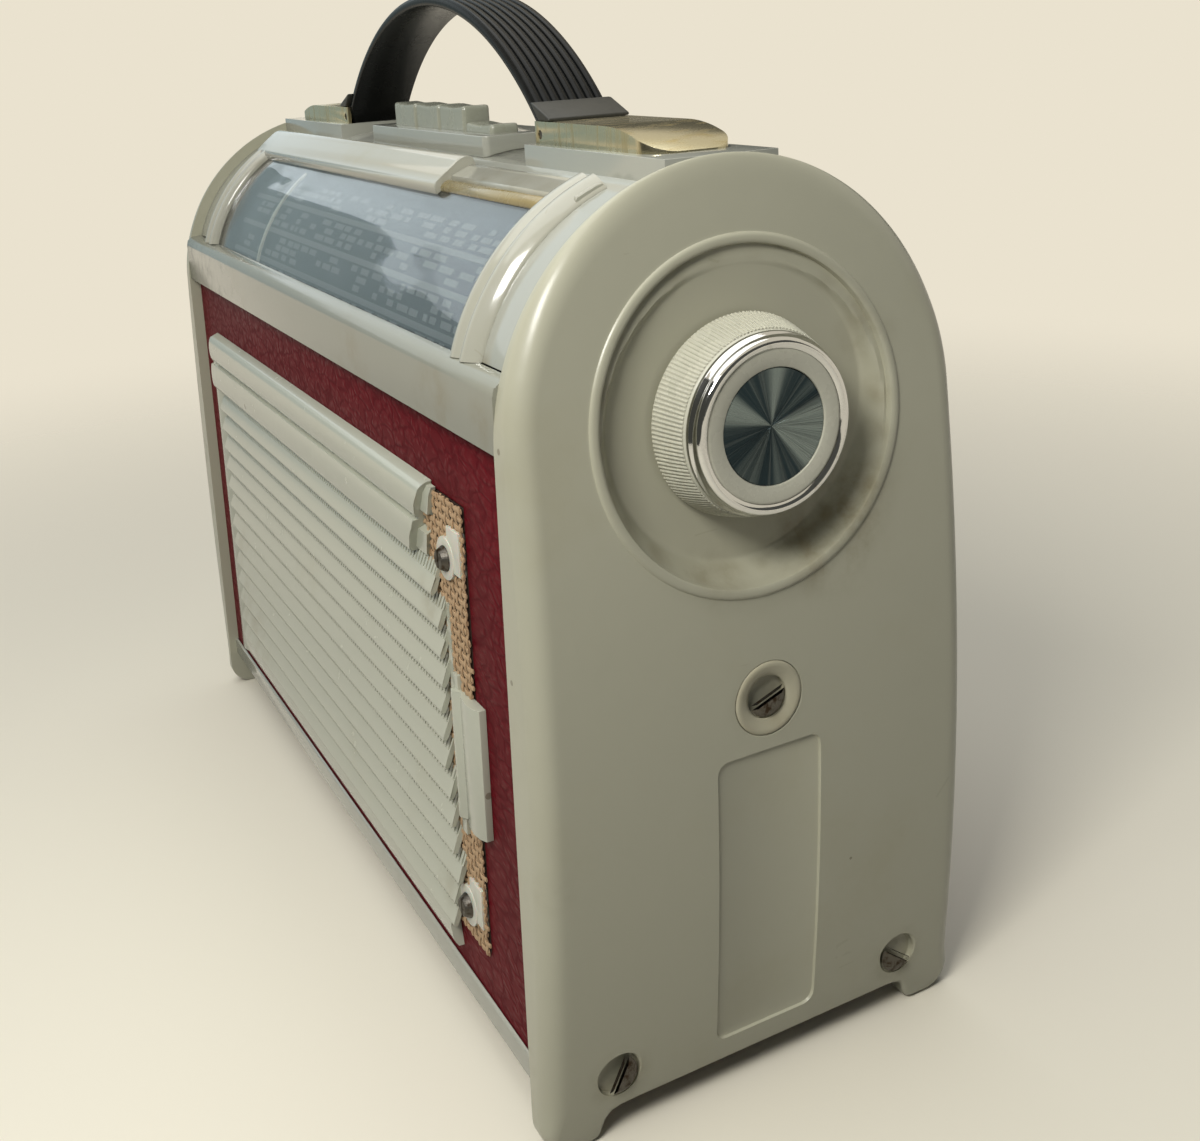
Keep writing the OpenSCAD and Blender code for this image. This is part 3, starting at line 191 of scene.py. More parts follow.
def plastic(name, clean, aged, roughness=0.32, age=0.5, dirt_and_shade=(), coat=0.0, share=0.035):
    """Moulded polystyrene: yellowed patches, a few specks and scratches, and darker spots at given places,
    each (x, y, z, radius in mm, strength), which are soiling and, where a place stands for it, painted shade."""
    made, tree, shader, place = surface(name)
    patch = placed(tree, blotches, Vector=place, Scale=26.0, Cover=age, Blur=0.4)["Mask"]
    fine = placed(tree, blotches, Vector=place, Scale=210.0, Cover=0.55, Blur=0.3)["Mask"]
    colour = mixed(tree, patch, clean, aged)
    # This brown darkens the dirt spots, the scratches and, at the places that stand for it, painted shade.
    grime_and_shade = (0.20, 0.155, 0.075)
    cloud = placed(tree, blotches, Vector=place, Scale=120.0, Cover=0.75, Blur=0.5)["Mask"]
    for x, y, z, radius, strength in dirt_and_shade:
        away = node(tree, "ShaderNodeVectorMath", {0: place, 1: (x * MM, y * MM, z * MM)},
                    operation="DISTANCE").outputs["Value"]
        near = remap(tree, away, radius * MM, radius * 0.35 * MM, 0.0, strength)
        colour = mixed(tree, math_node(tree, "MULTIPLY", near, cloud), colour, grime_and_shade)
    dots = placed(tree, specks, Vector=place, Scale=150.0, Share=share, Size=0.11)["Mask"]
    colour = mixed(tree, math_node(tree, "MULTIPLY", dots, 0.6), colour, (0.12, 0.09, 0.05))
    lines = placed(tree, scratches, Vector=place, Scale=18.0, Width=0.0012)["Mask"]
    colour = mixed(tree, math_node(tree, "MULTIPLY", lines, 0.12), colour, grime_and_shade)
    tree.links.new(colour, shader.inputs["Base Color"])
    tree.links.new(remap(tree, fine, 0.0, 1.0, roughness - 0.04, roughness + 0.07, False),
                   shader.inputs["Roughness"])
    shader.inputs["IOR"].default_value = 1.5
    shader.inputs["Coat Weight"].default_value = coat
    shader.inputs["Coat Roughness"].default_value = 0.08
    bumped(tree, shader, noise(tree, place, 140.0), 0.00004)
    return made


def piece(name, mesh, finish, body="case", stands_for=(), angle=38):
    """The finished piece: its mesh already lies in place, so its object stays at the origin."""
    made = bpy.data.objects.new(name, mesh)
    bpy.context.collection.objects.link(made)
    mesh.materials.clear()
    mesh.materials.append(finish)
    mesh.shade_smooth()
    mesh.set_sharp_from_angle(angle=math.radians(angle))
    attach(made, body)
    if stands_for:
        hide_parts(*stands_for)
    return made


def closed_mesh(name, points, faces):
    """A mesh from points in millimetres, its doubles merged and its faces turned outwards."""
    mesh = bpy.data.meshes.new(name)
    mesh.from_pydata([[c * MM for c in p] for p in points], [], faces)
    form = bmesh.new()
    form.from_mesh(mesh)
    bmesh.ops.remove_doubles(form, verts=form.verts, dist=2e-7)
    bmesh.ops.recalc_face_normals(form, faces=form.faces)
    form.to_mesh(mesh)
    form.free()
    return mesh


def band(faces, a, b, count):
    """Quads between the rings of points that start at a and at b."""
    for i in range(count):
        j = (i + 1) % count
        faces.append((a + i, a + j, b + j, b + i))


def lofted(rows):
    """Points and faces of a solid through rows of points, with its two ends closed."""
    count = len(rows[0])
    points = [p for row in rows for p in row]
    faces = [list(range(count)), list(range(len(points) - count, len(points)))]
    for k in range(len(rows) - 1):
        band(faces, k * count, (k + 1) * count, count)
    return points, faces


def turned(profile, y, z, steps):
    """Points and faces of a solid turned about a line along X, from (radius, x) points."""
    points, faces, rows = [], [], []
    for r, x in profile:
        rows.append((len(points), r < 1e-6))
        if r < 1e-6:
            points.append((x, y, z))
        else:
            angles = [2 * math.pi * i / steps for i in range(steps)]
            points += [(x, y + r * math.cos(a), z + r * math.sin(a)) for a in angles]
    for (a, a_pole), (b, b_pole) in zip(rows, rows[1:] + rows[:1]):
        if a_pole and b_pole:
            continue
        if a_pole or b_pole:
            pole, ring = (a, b) if a_pole else (b, a)
            faces += [(pole, ring + i, ring + (i + 1) % steps) for i in range(steps)]
        else:
            band(faces, a, b, steps)
    return points, faces


def cut(name, mesh, cutters):
    """The mesh with the cutters' meshes taken out of it."""
    body = bpy.data.objects.new(name + "_blank", mesh)
    tool_points, tool_faces = [], []
    for points, faces in cutters:
        start = len(tool_points)
        tool_points += points
        tool_faces += [[start + i for i in f] for f in faces]
    tool = bpy.data.objects.new(name + "_tool", closed_mesh(name + "_tool", tool_points, tool_faces))
    for o in (body, tool):
        bpy.context.collection.objects.link(o)
    step = body.modifiers.new("Cut", "BOOLEAN")
    step.operation, step.solver, step.object = "DIFFERENCE", "EXACT", tool
    bpy.context.view_layer.update()
    result = bpy.data.meshes.new_from_object(body.evaluated_get(bpy.context.evaluated_depsgraph_get()))
    for o in (body, tool):
        bpy.data.objects.remove(o)
    result.name = name
    return result


def cap_outline():
    """Half of the cap's outline as (y, z, width of its edge rounding), from below round to the top."""
    lower = [(y, 6.2, 1.3) for y in (0, 7, 14, 21, 27, 31)]
    lower += [(33.5, 6.15, 1.2), (35.3, 5.7, 1.2), (36.6, 4.4, 1.2), (37.2, 2.6, 1.2), (37.7, 1.2, 1.2),
              (38.5, 0.35, 1.2), (39.8, 0, 1.25), (41.2, 0, 1.3), (42.6, 0, 1.3)]
    radius = 6.5
    for i in range(0, 11):
        a = math.radians(9 * i)
        z = radius - radius * math.cos(a)
        lower.append((half_depth(radius) - radius + radius * math.sin(a), z, min(4.4, 1.32 + 4.4 * z / 15)))
    for i in range(1, 35):
        z = radius + (SPRING_Z - radius) * i / 35
        lower.append((half_depth(z), z, min(4.4, 1.32 + 4.4 * z / 15)))
    for i in range(0, 41):
        a = math.radians(90 * i / 40)
        lower.append((ARCH_R * math.cos(a), SPRING_Z + ARCH_R * math.sin(a), 4.4))
    return lower


WELL_EDGE, WELL_FLOOR = 33.6, 120.8
PANEL_Z, PANEL_HALF, PANEL_SIDE, PANEL_CORNER = 43.5, 31.5, 11.8, 2.5
MID_SCREW_Z, LOW_SCREW_Y, LOW_SCREW_Z = 85.5, 34.0, 14.2


def end_cap_mesh():
    """The right cap: an edge rounded to its crowned face, and the well sunk into that face."""
    half = cap_outline()
    loop = half + [(-y, z, w) for y, z, w in half[-2:0:-1]]
    count = len(loop)
    inwards = []
    for i in range(count):
        (y0, z0, _), (y1, z1, _) = loop[i - 1], loop[(i + 1) % count]
        along = Vector((y1 - y0, z1 - z0)).normalized()
        inwards.append((-along.y, along.x))
    points, rings = [], []

    def ring(row):
        rings.append(len(points))
        points.extend(row)

    ring([(X_IN, y, z) for y, z, w in loop])
    for k in range(9):
        a = math.radians(90 * k / 8)
        row = []
        for (y, z, w), (ny, nz) in zip(loop, inwards):
            py, pz = y + ny * w * (1 - math.cos(a)), z + nz * w * (1 - math.cos(a))
            deep = min(w, (face_at(z) - X_IN) * 0.8)
            row.append((face_at(pz) - deep * (1 - math.sin(a)), py, pz))
        row = [(max(x, X_IN + 0.05), y, z) for x, y, z in row]
        ring(row)
    inner = row
    well = []
    for x, y, z in inner:
        a = math.atan2(z - KNOB_Z, y)
        well.append((math.cos(a), math.sin(a)))
    steps = 24
    for k in range(1, steps):
        t = k / steps
        row = []
        for (x, y, z), (cy, cz) in zip(inner, well):
            py = y + (WELL_EDGE * cy - y) * t
            pz = z + (KNOB_Z + WELL_EDGE * cz - z) * t
            row.append((face_at(pz), py, pz))
        ring(row)
    # The bead round the well, the conical wall, the rounded foot of the wall and the floor
    profile = [(WELL_EDGE, 0, None), (33.45, 0.03, None), (33.3, 0.22, None), (33.05, 0.4, None),
               (32.7, 0.49, None), (32.2, 0.5, None), (31.8, 0.42, None), (31.5, 0.22, None),
               (31.36, -0.1, None), (31.3, -0.5, None)]
    for r in (31.2, 30.7, 30.2, 29.7, 29.2, 28.9):
        profile.append((r, -0.9, 122.0 + (r - 28.9) / 2.6 * 4.3))
    profile += [(28.5, -1.0, 121.45), (28.1, -1.05, 121.05), (27.7, -1.1, 120.86), (27.3, -1.2, WELL_FLOOR)]
    for r, rise, limit in profile:
        row = []
        for cy, cz in well:
            x = face_at(KNOB_Z + r * cz) + rise
            if limit is not None:
                x = max(min(x, limit), WELL_FLOOR)
            row.append((x, r * cy, KNOB_Z + r * cz))
        ring(row)
    for r, x in ((20, WELL_FLOOR), (11, WELL_FLOOR), (3.06, WELL_FLOOR), (3.06, X_IN)):
        ring([(x, r * cy, KNOB_Z + r * cz) for cy, cz in well])
    faces = []
    for a, b in zip(rings, rings[1:] + rings[:1]):
        band(faces, a, b, count)
    mesh = closed_mesh("end_cap", points, faces)

    # Cutters for the bare panel, the collar's seat and the two lower screws
    panel_points, panel_faces = [], []
    zs = [PANEL_Z - PANEL_HALF * math.cos(math.pi * i / 30) for i in range(31)]
    layers = []
    for grow, lift in ((-0.35, -0.6), (-0.12, -0.5), (0.0, -0.25), (0.12, 0.02), (0.3, 0.12), (0.3, 3)):
        side = []
        for z in zs:
            edge = min(PANEL_HALF - abs(z - PANEL_Z), PANEL_CORNER)
            w = math.sqrt(max(PANEL_CORNER ** 2 - (PANEL_CORNER - edge) ** 2, 0))
            w += PANEL_SIDE - PANEL_CORNER
            zz = PANEL_Z + (z - PANEL_Z) * (PANEL_HALF + grow) / PANEL_HALF
            side.append((face_at(zz) + lift, w + grow, zz))
        layers.append(len(panel_points))
        panel_points += side + [(x, -y, z) for x, y, z in reversed(side)]
    total = 2 * len(zs)
    for a, b in zip(layers, layers[1:]):
        band(panel_faces, a, b, total)
    for start in (layers[0], layers[-1]):
        for i in range(len(zs) - 1):
            panel_faces.append((start + i, start + i + 1, start + total - 2 - i, start + total - 1 - i))
    cutters = [(panel_points, panel_faces)]
    mid = face_at(MID_SCREW_Z)
    cutters.append(turned([(0, mid - 2), (7.5, mid - 2), (7.5, mid - 0.25), (7.62, mid - 0.05),
                           (7.9, mid + 0.1), (7.9, mid + 3), (0, mid + 3)], 0, MID_SCREW_Z, 64))
    low = face_at(LOW_SCREW_Z)
    for y in (-LOW_SCREW_Y, LOW_SCREW_Y):
        cutters.append(turned([(0, low - 1.6), (4.3, low - 1.6), (4.6, low - 1.3), (4.6, low - 0.25),
                               (4.8, low), (5.1, low + 0.2), (5.1, low + 3), (0, low + 3)],
                              y, LOW_SCREW_Z, 64))
    return cut("end_cap_right_moulding", mesh, cutters)


well_dirt_and_shade = [(124, 16, 115, 17, 0.75), (124, 24, 122, 10, 0.6), (125, -8, 111, 9, 0.4),
             (125, 27, 150, 9, 0.35), (128.3, 0, MID_SCREW_Z, 10.5, 0.5), (126, 34, 14, 8.5, 0.6),
             (126, -34, 14, 8.5, 0.6), (126, -46, 60, 6, 0.3)]
# The ring of places round the well lies on its wall and paints shade there; the places above are real dirt.
well_dirt_and_shade += [(124, 29.6 * math.cos(a), KNOB_Z + 29.6 * math.sin(a), 4.2, 0.4)
              for a in [math.pi * i / 11 for i in range(22)]]
cap_plastic = plastic("Cream cap plastic", (0.45, 0.435, 0.325), (0.41, 0.385, 0.265), 0.32, 0.4,
                      well_dirt_and_shade)
cap_mesh = end_cap_mesh()
other_mesh = cap_mesh.copy()
other_mesh.name = "end_cap_left_moulding"
other_mesh.transform(Matrix.Scale(-1, 4, (1, 0, 0)))
other_mesh.flip_normals()
piece("end_cap_right_moulding", cap_mesh, cap_plastic, stands_for=["end_cap_right"], angle=28)
piece("end_cap_left_moulding", other_mesh, cap_plastic, stands_for=["end_cap_left"], angle=28)


# Cap screws: six cheese-head steel screws with a slot, gone brown and dull, and darker still as painted
# shade.
# They pull the caps onto the case. One is sunk in a collar in the middle of each cap, two by its feet.
def grown(name, points, tree, values, attributes=()):
    """The plain mesh that a tree of geometry nodes makes of points given in millimetres."""
    base = bpy.data.meshes.new(name)
    base.from_pydata([[c * MM for c in p] for p in points], [], [])
    for label, numbers in attributes:
        base.attributes.new(label, "FLOAT", "POINT").data.foreach_set("value", numbers)
    source = bpy.data.objects.new(name + "_source", base)
    bpy.context.collection.objects.link(source)
    step = source.modifiers.new("Made", "NODES")
    step.node_group = tree
    for item in tree.interface.items_tree:
        if item.item_type == "SOCKET" and item.in_out == "INPUT" and item.name in values:
            step[item.identifier] = values[item.name]
    bpy.context.view_layer.update()
    mesh = bpy.data.meshes.new_from_object(source.evaluated_get(bpy.context.evaluated_depsgraph_get()))
    source.modifiers.clear()
    bpy.data.objects.remove(source)
    mesh.name = name
    return mesh


def carried(tree, name):
    """A number that the points carry, such as a length or an angle."""
    return output(tree, "GeometryNodeInputNamedAttribute", {"Name": name}, data_type="FLOAT")


def spun(tree, axis, angle):
    return output(tree, "FunctionNodeAxisAngleToRotation", {"Axis": axis, "Angle": angle})


def last_steps(tree, geometry, finish, result):
    """The end of a tree of geometry nodes: real copies that carry their material."""
    real = output(tree, "GeometryNodeRealizeInstances", {0: geometry})
    dressed = output(tree, "GeometryNodeSetMaterial", {"Geometry": real, "Material": finish})
    tree.links.new(dressed, result)


screw_tree, g_in, g_out = effect("Slotted screw heads", [
    ("Geometry", "Geometry", None), ("Head radius", "Float", 0.004), ("Head height", "Float", 0.0014),
    ("Crown height", "Float", 0.0008), ("Crown radius", "Float", 0.0028), ("Slot width", "Float", 0.001),
    ("Slot depth", "Float", 0.0009), ("Facing", "Rotation", None), ("Finish", "Material", None)],
    [("Geometry", "Geometry")], "GeometryNodeTree")
g_lift = math_node(screw_tree, "MULTIPLY", g_in["Head height"], 0.5)
g_lift = output(screw_tree, "ShaderNodeCombineXYZ", {"Z": g_lift})
g_skirt = output(screw_tree, "GeometryNodeMeshCylinder",
                 {"Vertices": 40, "Radius": g_in["Head radius"], "Depth": g_in["Head height"]})
g_skirt = output(screw_tree, "GeometryNodeTransform", {"Geometry": g_skirt, "Translation": g_lift})
g_crown = output(screw_tree, "GeometryNodeMeshCone", {
    "Vertices": 40, "Radius Top": g_in["Crown radius"], "Radius Bottom": g_in["Head radius"],
    "Depth": g_in["Crown height"]})
g_up = math_node(screw_tree, "SUBTRACT", g_in["Head height"], 0.00001)
g_up = output(screw_tree, "ShaderNodeCombineXYZ", {"Z": g_up})
g_crown = output(screw_tree, "GeometryNodeTransform", {"Geometry": g_crown, "Translation": g_up})
g_head = node(screw_tree, "GeometryNodeMeshBoolean", operation="UNION")
for g_part in (g_skirt, g_crown):
    screw_tree.links.new(g_part, g_head.inputs["Mesh 2"])
g_deep = math_node(screw_tree, "MULTIPLY", g_in["Slot depth"], 2.0)
g_size = output(screw_tree, "ShaderNodeCombineXYZ", {"X": g_in["Slot width"], "Y": 0.03, "Z": g_deep})
g_slot = output(screw_tree, "GeometryNodeMeshCube", {"Size": g_size})
g_top = math_node(screw_tree, "ADD", g_in["Head height"], g_in["Crown height"])
g_top = output(screw_tree, "ShaderNodeCombineXYZ", {"Z": g_top})
g_slot = output(screw_tree, "GeometryNodeTransform", {"Geometry": g_slot, "Translation": g_top})
g_cut = node(screw_tree, "GeometryNodeMeshBoolean", {"Mesh 1": g_head.outputs[0]}, operation="DIFFERENCE")
screw_tree.links.new(g_slot, g_cut.inputs["Mesh 2"])
g_spin = spun(screw_tree, (0.0, 0.0, 1.0), carried(screw_tree, "turn"))
g_flip = math_node(screw_tree, "MULTIPLY", carried(screw_tree, "side"), math.pi)
g_flip = spun(screw_tree, (0.0, 0.0, 1.0), g_flip)
g_aim = output(screw_tree, "FunctionNodeRotateRotation",
               {"Rotation": g_in["Facing"], "Rotate By": g_flip}, rotation_space="GLOBAL")
g_aim = output(screw_tree, "FunctionNodeRotateRotation",
               {"Rotation": g_aim, "Rotate By": g_spin}, rotation_space="LOCAL")
g_all = output(screw_tree, "GeometryNodeInstanceOnPoints",
               {"Points": g_in["Geometry"], "Instance": g_cut.outputs[0], "Rotation": g_aim})
last_steps(screw_tree, g_all, g_in["Finish"], g_out["Geometry"])


def metal(name, base, worn, roughness, wear=0.4, scale=160.0, metallic=1.0, rough_worn=None,
          dent=0.00002, drawn=(1.0, 1.0, 1.0)):
    """Metal with worn or rusted patches, drawn out along an axis where its scale is small."""
    made, tree, shader, place = surface(name)
    place = output(tree, "ShaderNodeMapping", {"Vector": place, "Scale": drawn})
    patch = placed(tree, blotches, Vector=place, Scale=scale, Cover=wear, Blur=0.22)["Mask"]
    tree.links.new(mixed(tree, patch, base, worn), shader.inputs["Base Color"])
    worn_rough = roughness + 0.25 if rough_worn is None else rough_worn
    tree.links.new(remap(tree, patch, 0.0, 1.0, roughness, worn_rough, False), shader.inputs["Roughness"])
    shader.inputs["Metallic"].default_value = metallic
    bumped(tree, shader, noise(tree, place, scale * 6, 3.0), dent)
    return made


# The steel's dark colour is partly browning and partly painted shade of the recesses; the strap pins and
# grille screws share it.
screw_metal = metal("Browned steel screws with painted shade", (0.10, 0.092, 0.08), (0.045, 0.03, 0.018), 0.42, 0.55, 700.0,
                    dent=0.00006)
screw_places, screw_turns, screw_sides = [], [], []
for side in (0, 1):
    sign = 1 - 2 * side
    for y, z, sunk, slot_turn in ((0, MID_SCREW_Z, 2.0, 20), (-LOW_SCREW_Y, LOW_SCREW_Z, 1.6, 62),
                                  (LOW_SCREW_Y, LOW_SCREW_Z, 1.6, -38)):
        screw_places.append((sign * (face_at(z) - sunk), y, z))
        screw_turns.append(math.radians(slot_turn))
        screw_sides.append(float(side))
heads = grown("cap_screw_heads", screw_places, screw_tree,
              {"Head radius": 0.004, "Head height": 0.0014, "Crown height": 0.0008,
               "Crown radius": 0.0029, "Slot width": 0.001, "Slot depth": 0.001,
               "Facing": (0.0, math.pi / 2, 0.0), "Finish": screw_metal},
              [("turn", screw_turns), ("side", screw_sides)])
piece("cap_screw_heads", heads, screw_metal, stands_for=["cap_screws"])


# Screw collars: two turned rings of paler plastic, pressed into their seats round the middle screws. Dirt
# has gathered round them and in the sunk middle.
collar_plastic = plastic("Pale collar plastic", (0.46, 0.43, 0.31), (0.38, 0.33, 0.20), 0.4, 0.6,
                         [(128, 4, 82, 6, 0.5), (128, -4, 88, 5, 0.4)])
mid_x = face_at(MID_SCREW_Z)
collar_profile = [(4.3, mid_x - 2), (7.42, mid_x - 2), (7.42, mid_x - 0.15), (7.2, mid_x + 0.1),
                  (6.8, mid_x + 0.2), (6.2, mid_x + 0.12), (5.2, mid_x - 0.25), (4.6, mid_x - 0.45),
                  (4.3, mid_x - 0.75)]
for side, end in ((1, "right"), (-1, "left")):
    points, faces = turned(collar_profile, 0, MID_SCREW_Z, 80)
    mesh = closed_mesh("screw_collar_" + end, [(side * x, y, z) for x, y, z in points], faces)
    piece("screw_collar_" + end, mesh, collar_plastic,
          stands_for=["screw_collars"] if side > 0 else ())


# Case panels: three boards of the case, covered with burgundy leathercloth that is glued down and turned
# in at the edges. Its pressed grain is a fine net of soft creases.
def refined(source, finish, name, body="case", rounding=0.4, segments=3, angle=38, turn=30):
    """A finished copy of a CAD node: merged, its flat faces joined and its edges rounded."""
    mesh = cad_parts[source].data.copy()
    mesh.name = name
    form = bmesh.new()
    form.from_mesh(mesh)
    bmesh.ops.remove_doubles(form, verts=form.verts, dist=1e-6)
    bmesh.ops.dissolve_limit(form, angle_limit=math.radians(0.6), verts=form.verts, edges=form.edges)
    if rounding:
        edges = [e for e in form.edges if e.is_manifold and e.calc_face_angle(0) > math.radians(turn)]
        bmesh.ops.bevel(form, geom=edges, offset=rounding * MM, segments=segments, profile=0.5,
                        affect="EDGES", clamp_overlap=True)
    form.to_mesh(mesh)
    form.free()
    return piece(name, mesh, finish, body, [source], angle)


leather, tree, shader, place = surface("Burgundy leathercloth")
drawn = output(tree, "ShaderNodeMapping", {"Vector": place, "Scale": (0.75, 1.0, 1.25)})
bend = node(tree, "ShaderNodeTexNoise", {"Vector": drawn, "Scale": 140.0, "Detail": 3.0})
off = output(tree, "ShaderNodeVectorMath", {0: bend.outputs["Color"], 1: (0.5, 0.5, 0.5)},
             operation="SUBTRACT")
off = output(tree, "ShaderNodeVectorMath", {0: off, "Scale": 0.006}, operation="SCALE")
bent = output(tree, "ShaderNodeVectorMath", {0: drawn, 1: off}, operation="ADD")
cells = output(tree, "ShaderNodeTexVoronoi", {"Vector": bent, "Scale": 560.0, "Smoothness": 0.5},
               feature="SMOOTH_F1")
folds = output(tree, "ShaderNodeTexVoronoi", {"Vector": bent, "Scale": 230.0}, feature="DISTANCE_TO_EDGE")
pebble = remap(tree, cells, 0.65, 0.1)
fold = remap(tree, folds, 0.0, 0.16)
grain = math_node(tree, "ADD", math_node(tree, "MULTIPLY", pebble, 0.6),
                  math_node(tree, "MULTIPLY", fold, 0.4))
faded = placed(tree, blotches, Vector=place, Scale=30.0, Cover=0.5, Blur=0.4)["Mask"]
colour = mixed(tree, faded, (0.118, 0.0030, 0.0085), (0.145, 0.0050, 0.0115))
colour = mixed(tree, remap(tree, grain, 0.1, 0.6, 0.4, 0.0), colour, (0.05, 0.003, 0.006))
tree.links.new(colour, shader.inputs["Base Color"])
tree.links.new(remap(tree, grain, 0.0, 1.0, 0.60, 0.42, False), shader.inputs["Roughness"])
shader.inputs["Specular IOR Level"].default_value = 0.07
bumped(tree, shader, grain, 0.00013)
for source in ("front_panel", "back_panel", "bottom_panel"):
    refined(source, leather, "covered_" + source, rounding=0.7)


# Lower trims: two extruded plastic strips along the lower edges of the case, over the turned-in cloth.
# They are held between the end caps.
cover_dirt = [(60, -45, 178, 14, 0.25), (90, -40, 150, 9, 0.5), (104, -44, 150, 6, 0.6)]
cover_plastic = plastic("Glossy cream plastic", (0.375, 0.375, 0.315), (0.345, 0.33, 0.25), 0.16, 0.4,
                        cover_dirt, 0.5)
for source in ("front_trim", "rear_trim"):
    refined(source, cover_plastic, "strip_" + source, rounding=0.25)


# Top cover: the half-round cover of the case, moulded in one with the plinths under the handle's hoods
# and the band along the rear. It is polished, so it mirrors the light.
refined("top_cover", cover_plastic, "moulded_top_cover", rounding=0.45)


# Sill: the moulded rail between the front panel and the dial. Its plastic is more stained than the cover's
# and is coloured darker than it as painted shade; its rounded upper edge catches the light.
shaded_sill_plastic = plastic("Sill plastic", (0.27, 0.27, 0.215), (0.25, 0.235, 0.165), 0.18, 0.4,
                       [(90, -49, 141, 14, 0.6), (40, -49, 140, 16, 0.4), (112, -49, 144, 7, 0.5)], 0.15)
refined("dial_sill", shaded_sill_plastic, "moulded_dial_sill", rounding=0.9, segments=4, turn=40)


# Dial frame: ribs with two crests at both ends of the window and a raised rail along its top. The rail's
# right part has lost its raised half, and the low ledge there has yellowed.
frame_plastic = plastic("Yellowed frame plastic", (0.41, 0.40, 0.325), (0.37, 0.345, 0.24), 0.18, 0.45,
                        [(60, -20, 181, 7, 0.35), (75, -22, 180, 7, 0.4), (90, -22, 179, 6, 0.35),
                         (52, -20, 181, 6, 0.35), (-97, -30, 174, 7, 0.4)], 0.5)
COVER_R, RIB_X, RAIL_TOP_ANGLE, SILL_TOP = 44.9, 93.0, 20.5, 152.6
rib_profile = [(0.0, 0), (1.0, 0.05), (1.5, 0.3), (2.2, 1.0), (2.5, 1.7), (2.6, 2.4), (2.5, 3.1),
               (2.15, 3.8), (1.8, 4.4), (1.7, 4.8), (1.85, 5.3), (2.3, 5.8), (2.65, 6.5), (2.7, 7.2),
               (2.55, 7.8), (2.0, 8.7), (1.3, 9.5), (0.6, 10.1), (0.2, 10.4), (0.0, 10.45)]


def joined(name, *meshes):
    """Several meshes as one."""
    form = bmesh.new()
    for m in meshes:
        form.from_mesh(m)
    made = bpy.data.meshes.new(name)
    form.to_mesh(made)
    form.free()
    return made


def rib_form(side):
    """One end rib: its section carried round the arch from the top rail down to the sill."""
    rows, steps, first = [], 64, math.radians(RAIL_TOP_ANGLE)
    for k in range(steps + 1):
        row = []
        for rise, x in rib_profile:
            r = COVER_R + rise
            last = math.acos((SILL_TOP - SPRING_Z) / r)
            a = first + (last - first) * k / steps
            row.append((side * (RIB_X + x), -r * math.sin(a), SPRING_Z + r * math.cos(a)))
        rows.append(row)
    return closed_mesh("dial_rib", *lofted(rows))


def arch_bar(section, x0, x1, ragged=0.0):
    """A bar along X with a section of (angle from the top, rise over the cover)."""
    dice = random.Random(3)
    rows = []
    for x, inset in ((x0, 0.25), (x0 + 0.25, 0.0), (x1 - 0.25, 0.0), (x1, 0.25)):
        row = []
        for angle, rise in section:
            r = COVER_R + max(rise - inset, 0.0)
            a = math.radians(angle)
            push = dice.uniform(-ragged, ragged) if x > x1 - 0.3 else 0.0
            row.append((min(x + push, x1), -r * math.sin(a), SPRING_Z + r * math.cos(a)))
        rows.append(row)
    return closed_mesh("dial_bar", *lofted(rows))


raised = [(34.4, 0.1), (34.1, 1.6), (33.6, 2.25), (32.6, 2.55), (29.5, 3.05), (27.0, 3.4), (25.0, 3.75),
          (23.6, 3.9), (22.2, 3.7), (21.0, 3.25), (20.5, 2.6), (20.4, 0.1)]
ledge = [(28.9, 0.05), (28.6, 1.3), (28.1, 1.62), (26.5, 1.55), (23.0, 1.5), (21.2, 1.35), (20.6, 1.0),
         (20.4, 0.05)]
lower_ledge = [(32.9, 0.05), (32.6, 1.0), (31.8, 1.35), (30.6, 1.5), (29.6, 1.35), (29.1, 1.0),
               (28.9, 0.05)]
amber = plastic("Ambered frame plastic", (0.30, 0.235, 0.10), (0.17, 0.105, 0.04), 0.3, 0.5,
                [(50 + 9 * k, -23, 178, 6, 0.5) for k in range(6)], 0.3)
frame_mesh = joined("moulded_dial_frame", rib_form(1), rib_form(-1), arch_bar(raised, -103.0, 44.0, 0.3),
                    arch_bar(ledge, 43.9, 103.0))
piece("moulded_dial_frame", frame_mesh, frame_plastic, stands_for=["dial_frame"], angle=42)
piece("ambered_ledge", arch_bar(lower_ledge, 43.9, 94.0), amber, angle=50)


# Dial scale: a curved plate painted slate grey, printed with pale name fields, plain numbers and ticks.
# It is held by its cheeks behind the lens.
SCALE_R = 41.2
scale_paint, tree, shader, place = surface("Slate scale paint")
patch = placed(tree, blotches, Vector=place, Scale=45.0, Cover=0.5, Blur=0.4)["Mask"]
tree.links.new(mixed(tree, patch, (0.045, 0.056, 0.072), (0.085, 0.095, 0.11)), shader.inputs["Base Color"])
shader.inputs["Roughness"].default_value = 0.5


def dress(finish, slot, *names):
    """A plain inner piece keeps its CAD form and takes its surface."""
    for name in names:
        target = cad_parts[name]
        target.data.materials.clear()
        target.data.materials.append(finish)


dress(scale_paint, "scale", "dial_scale")

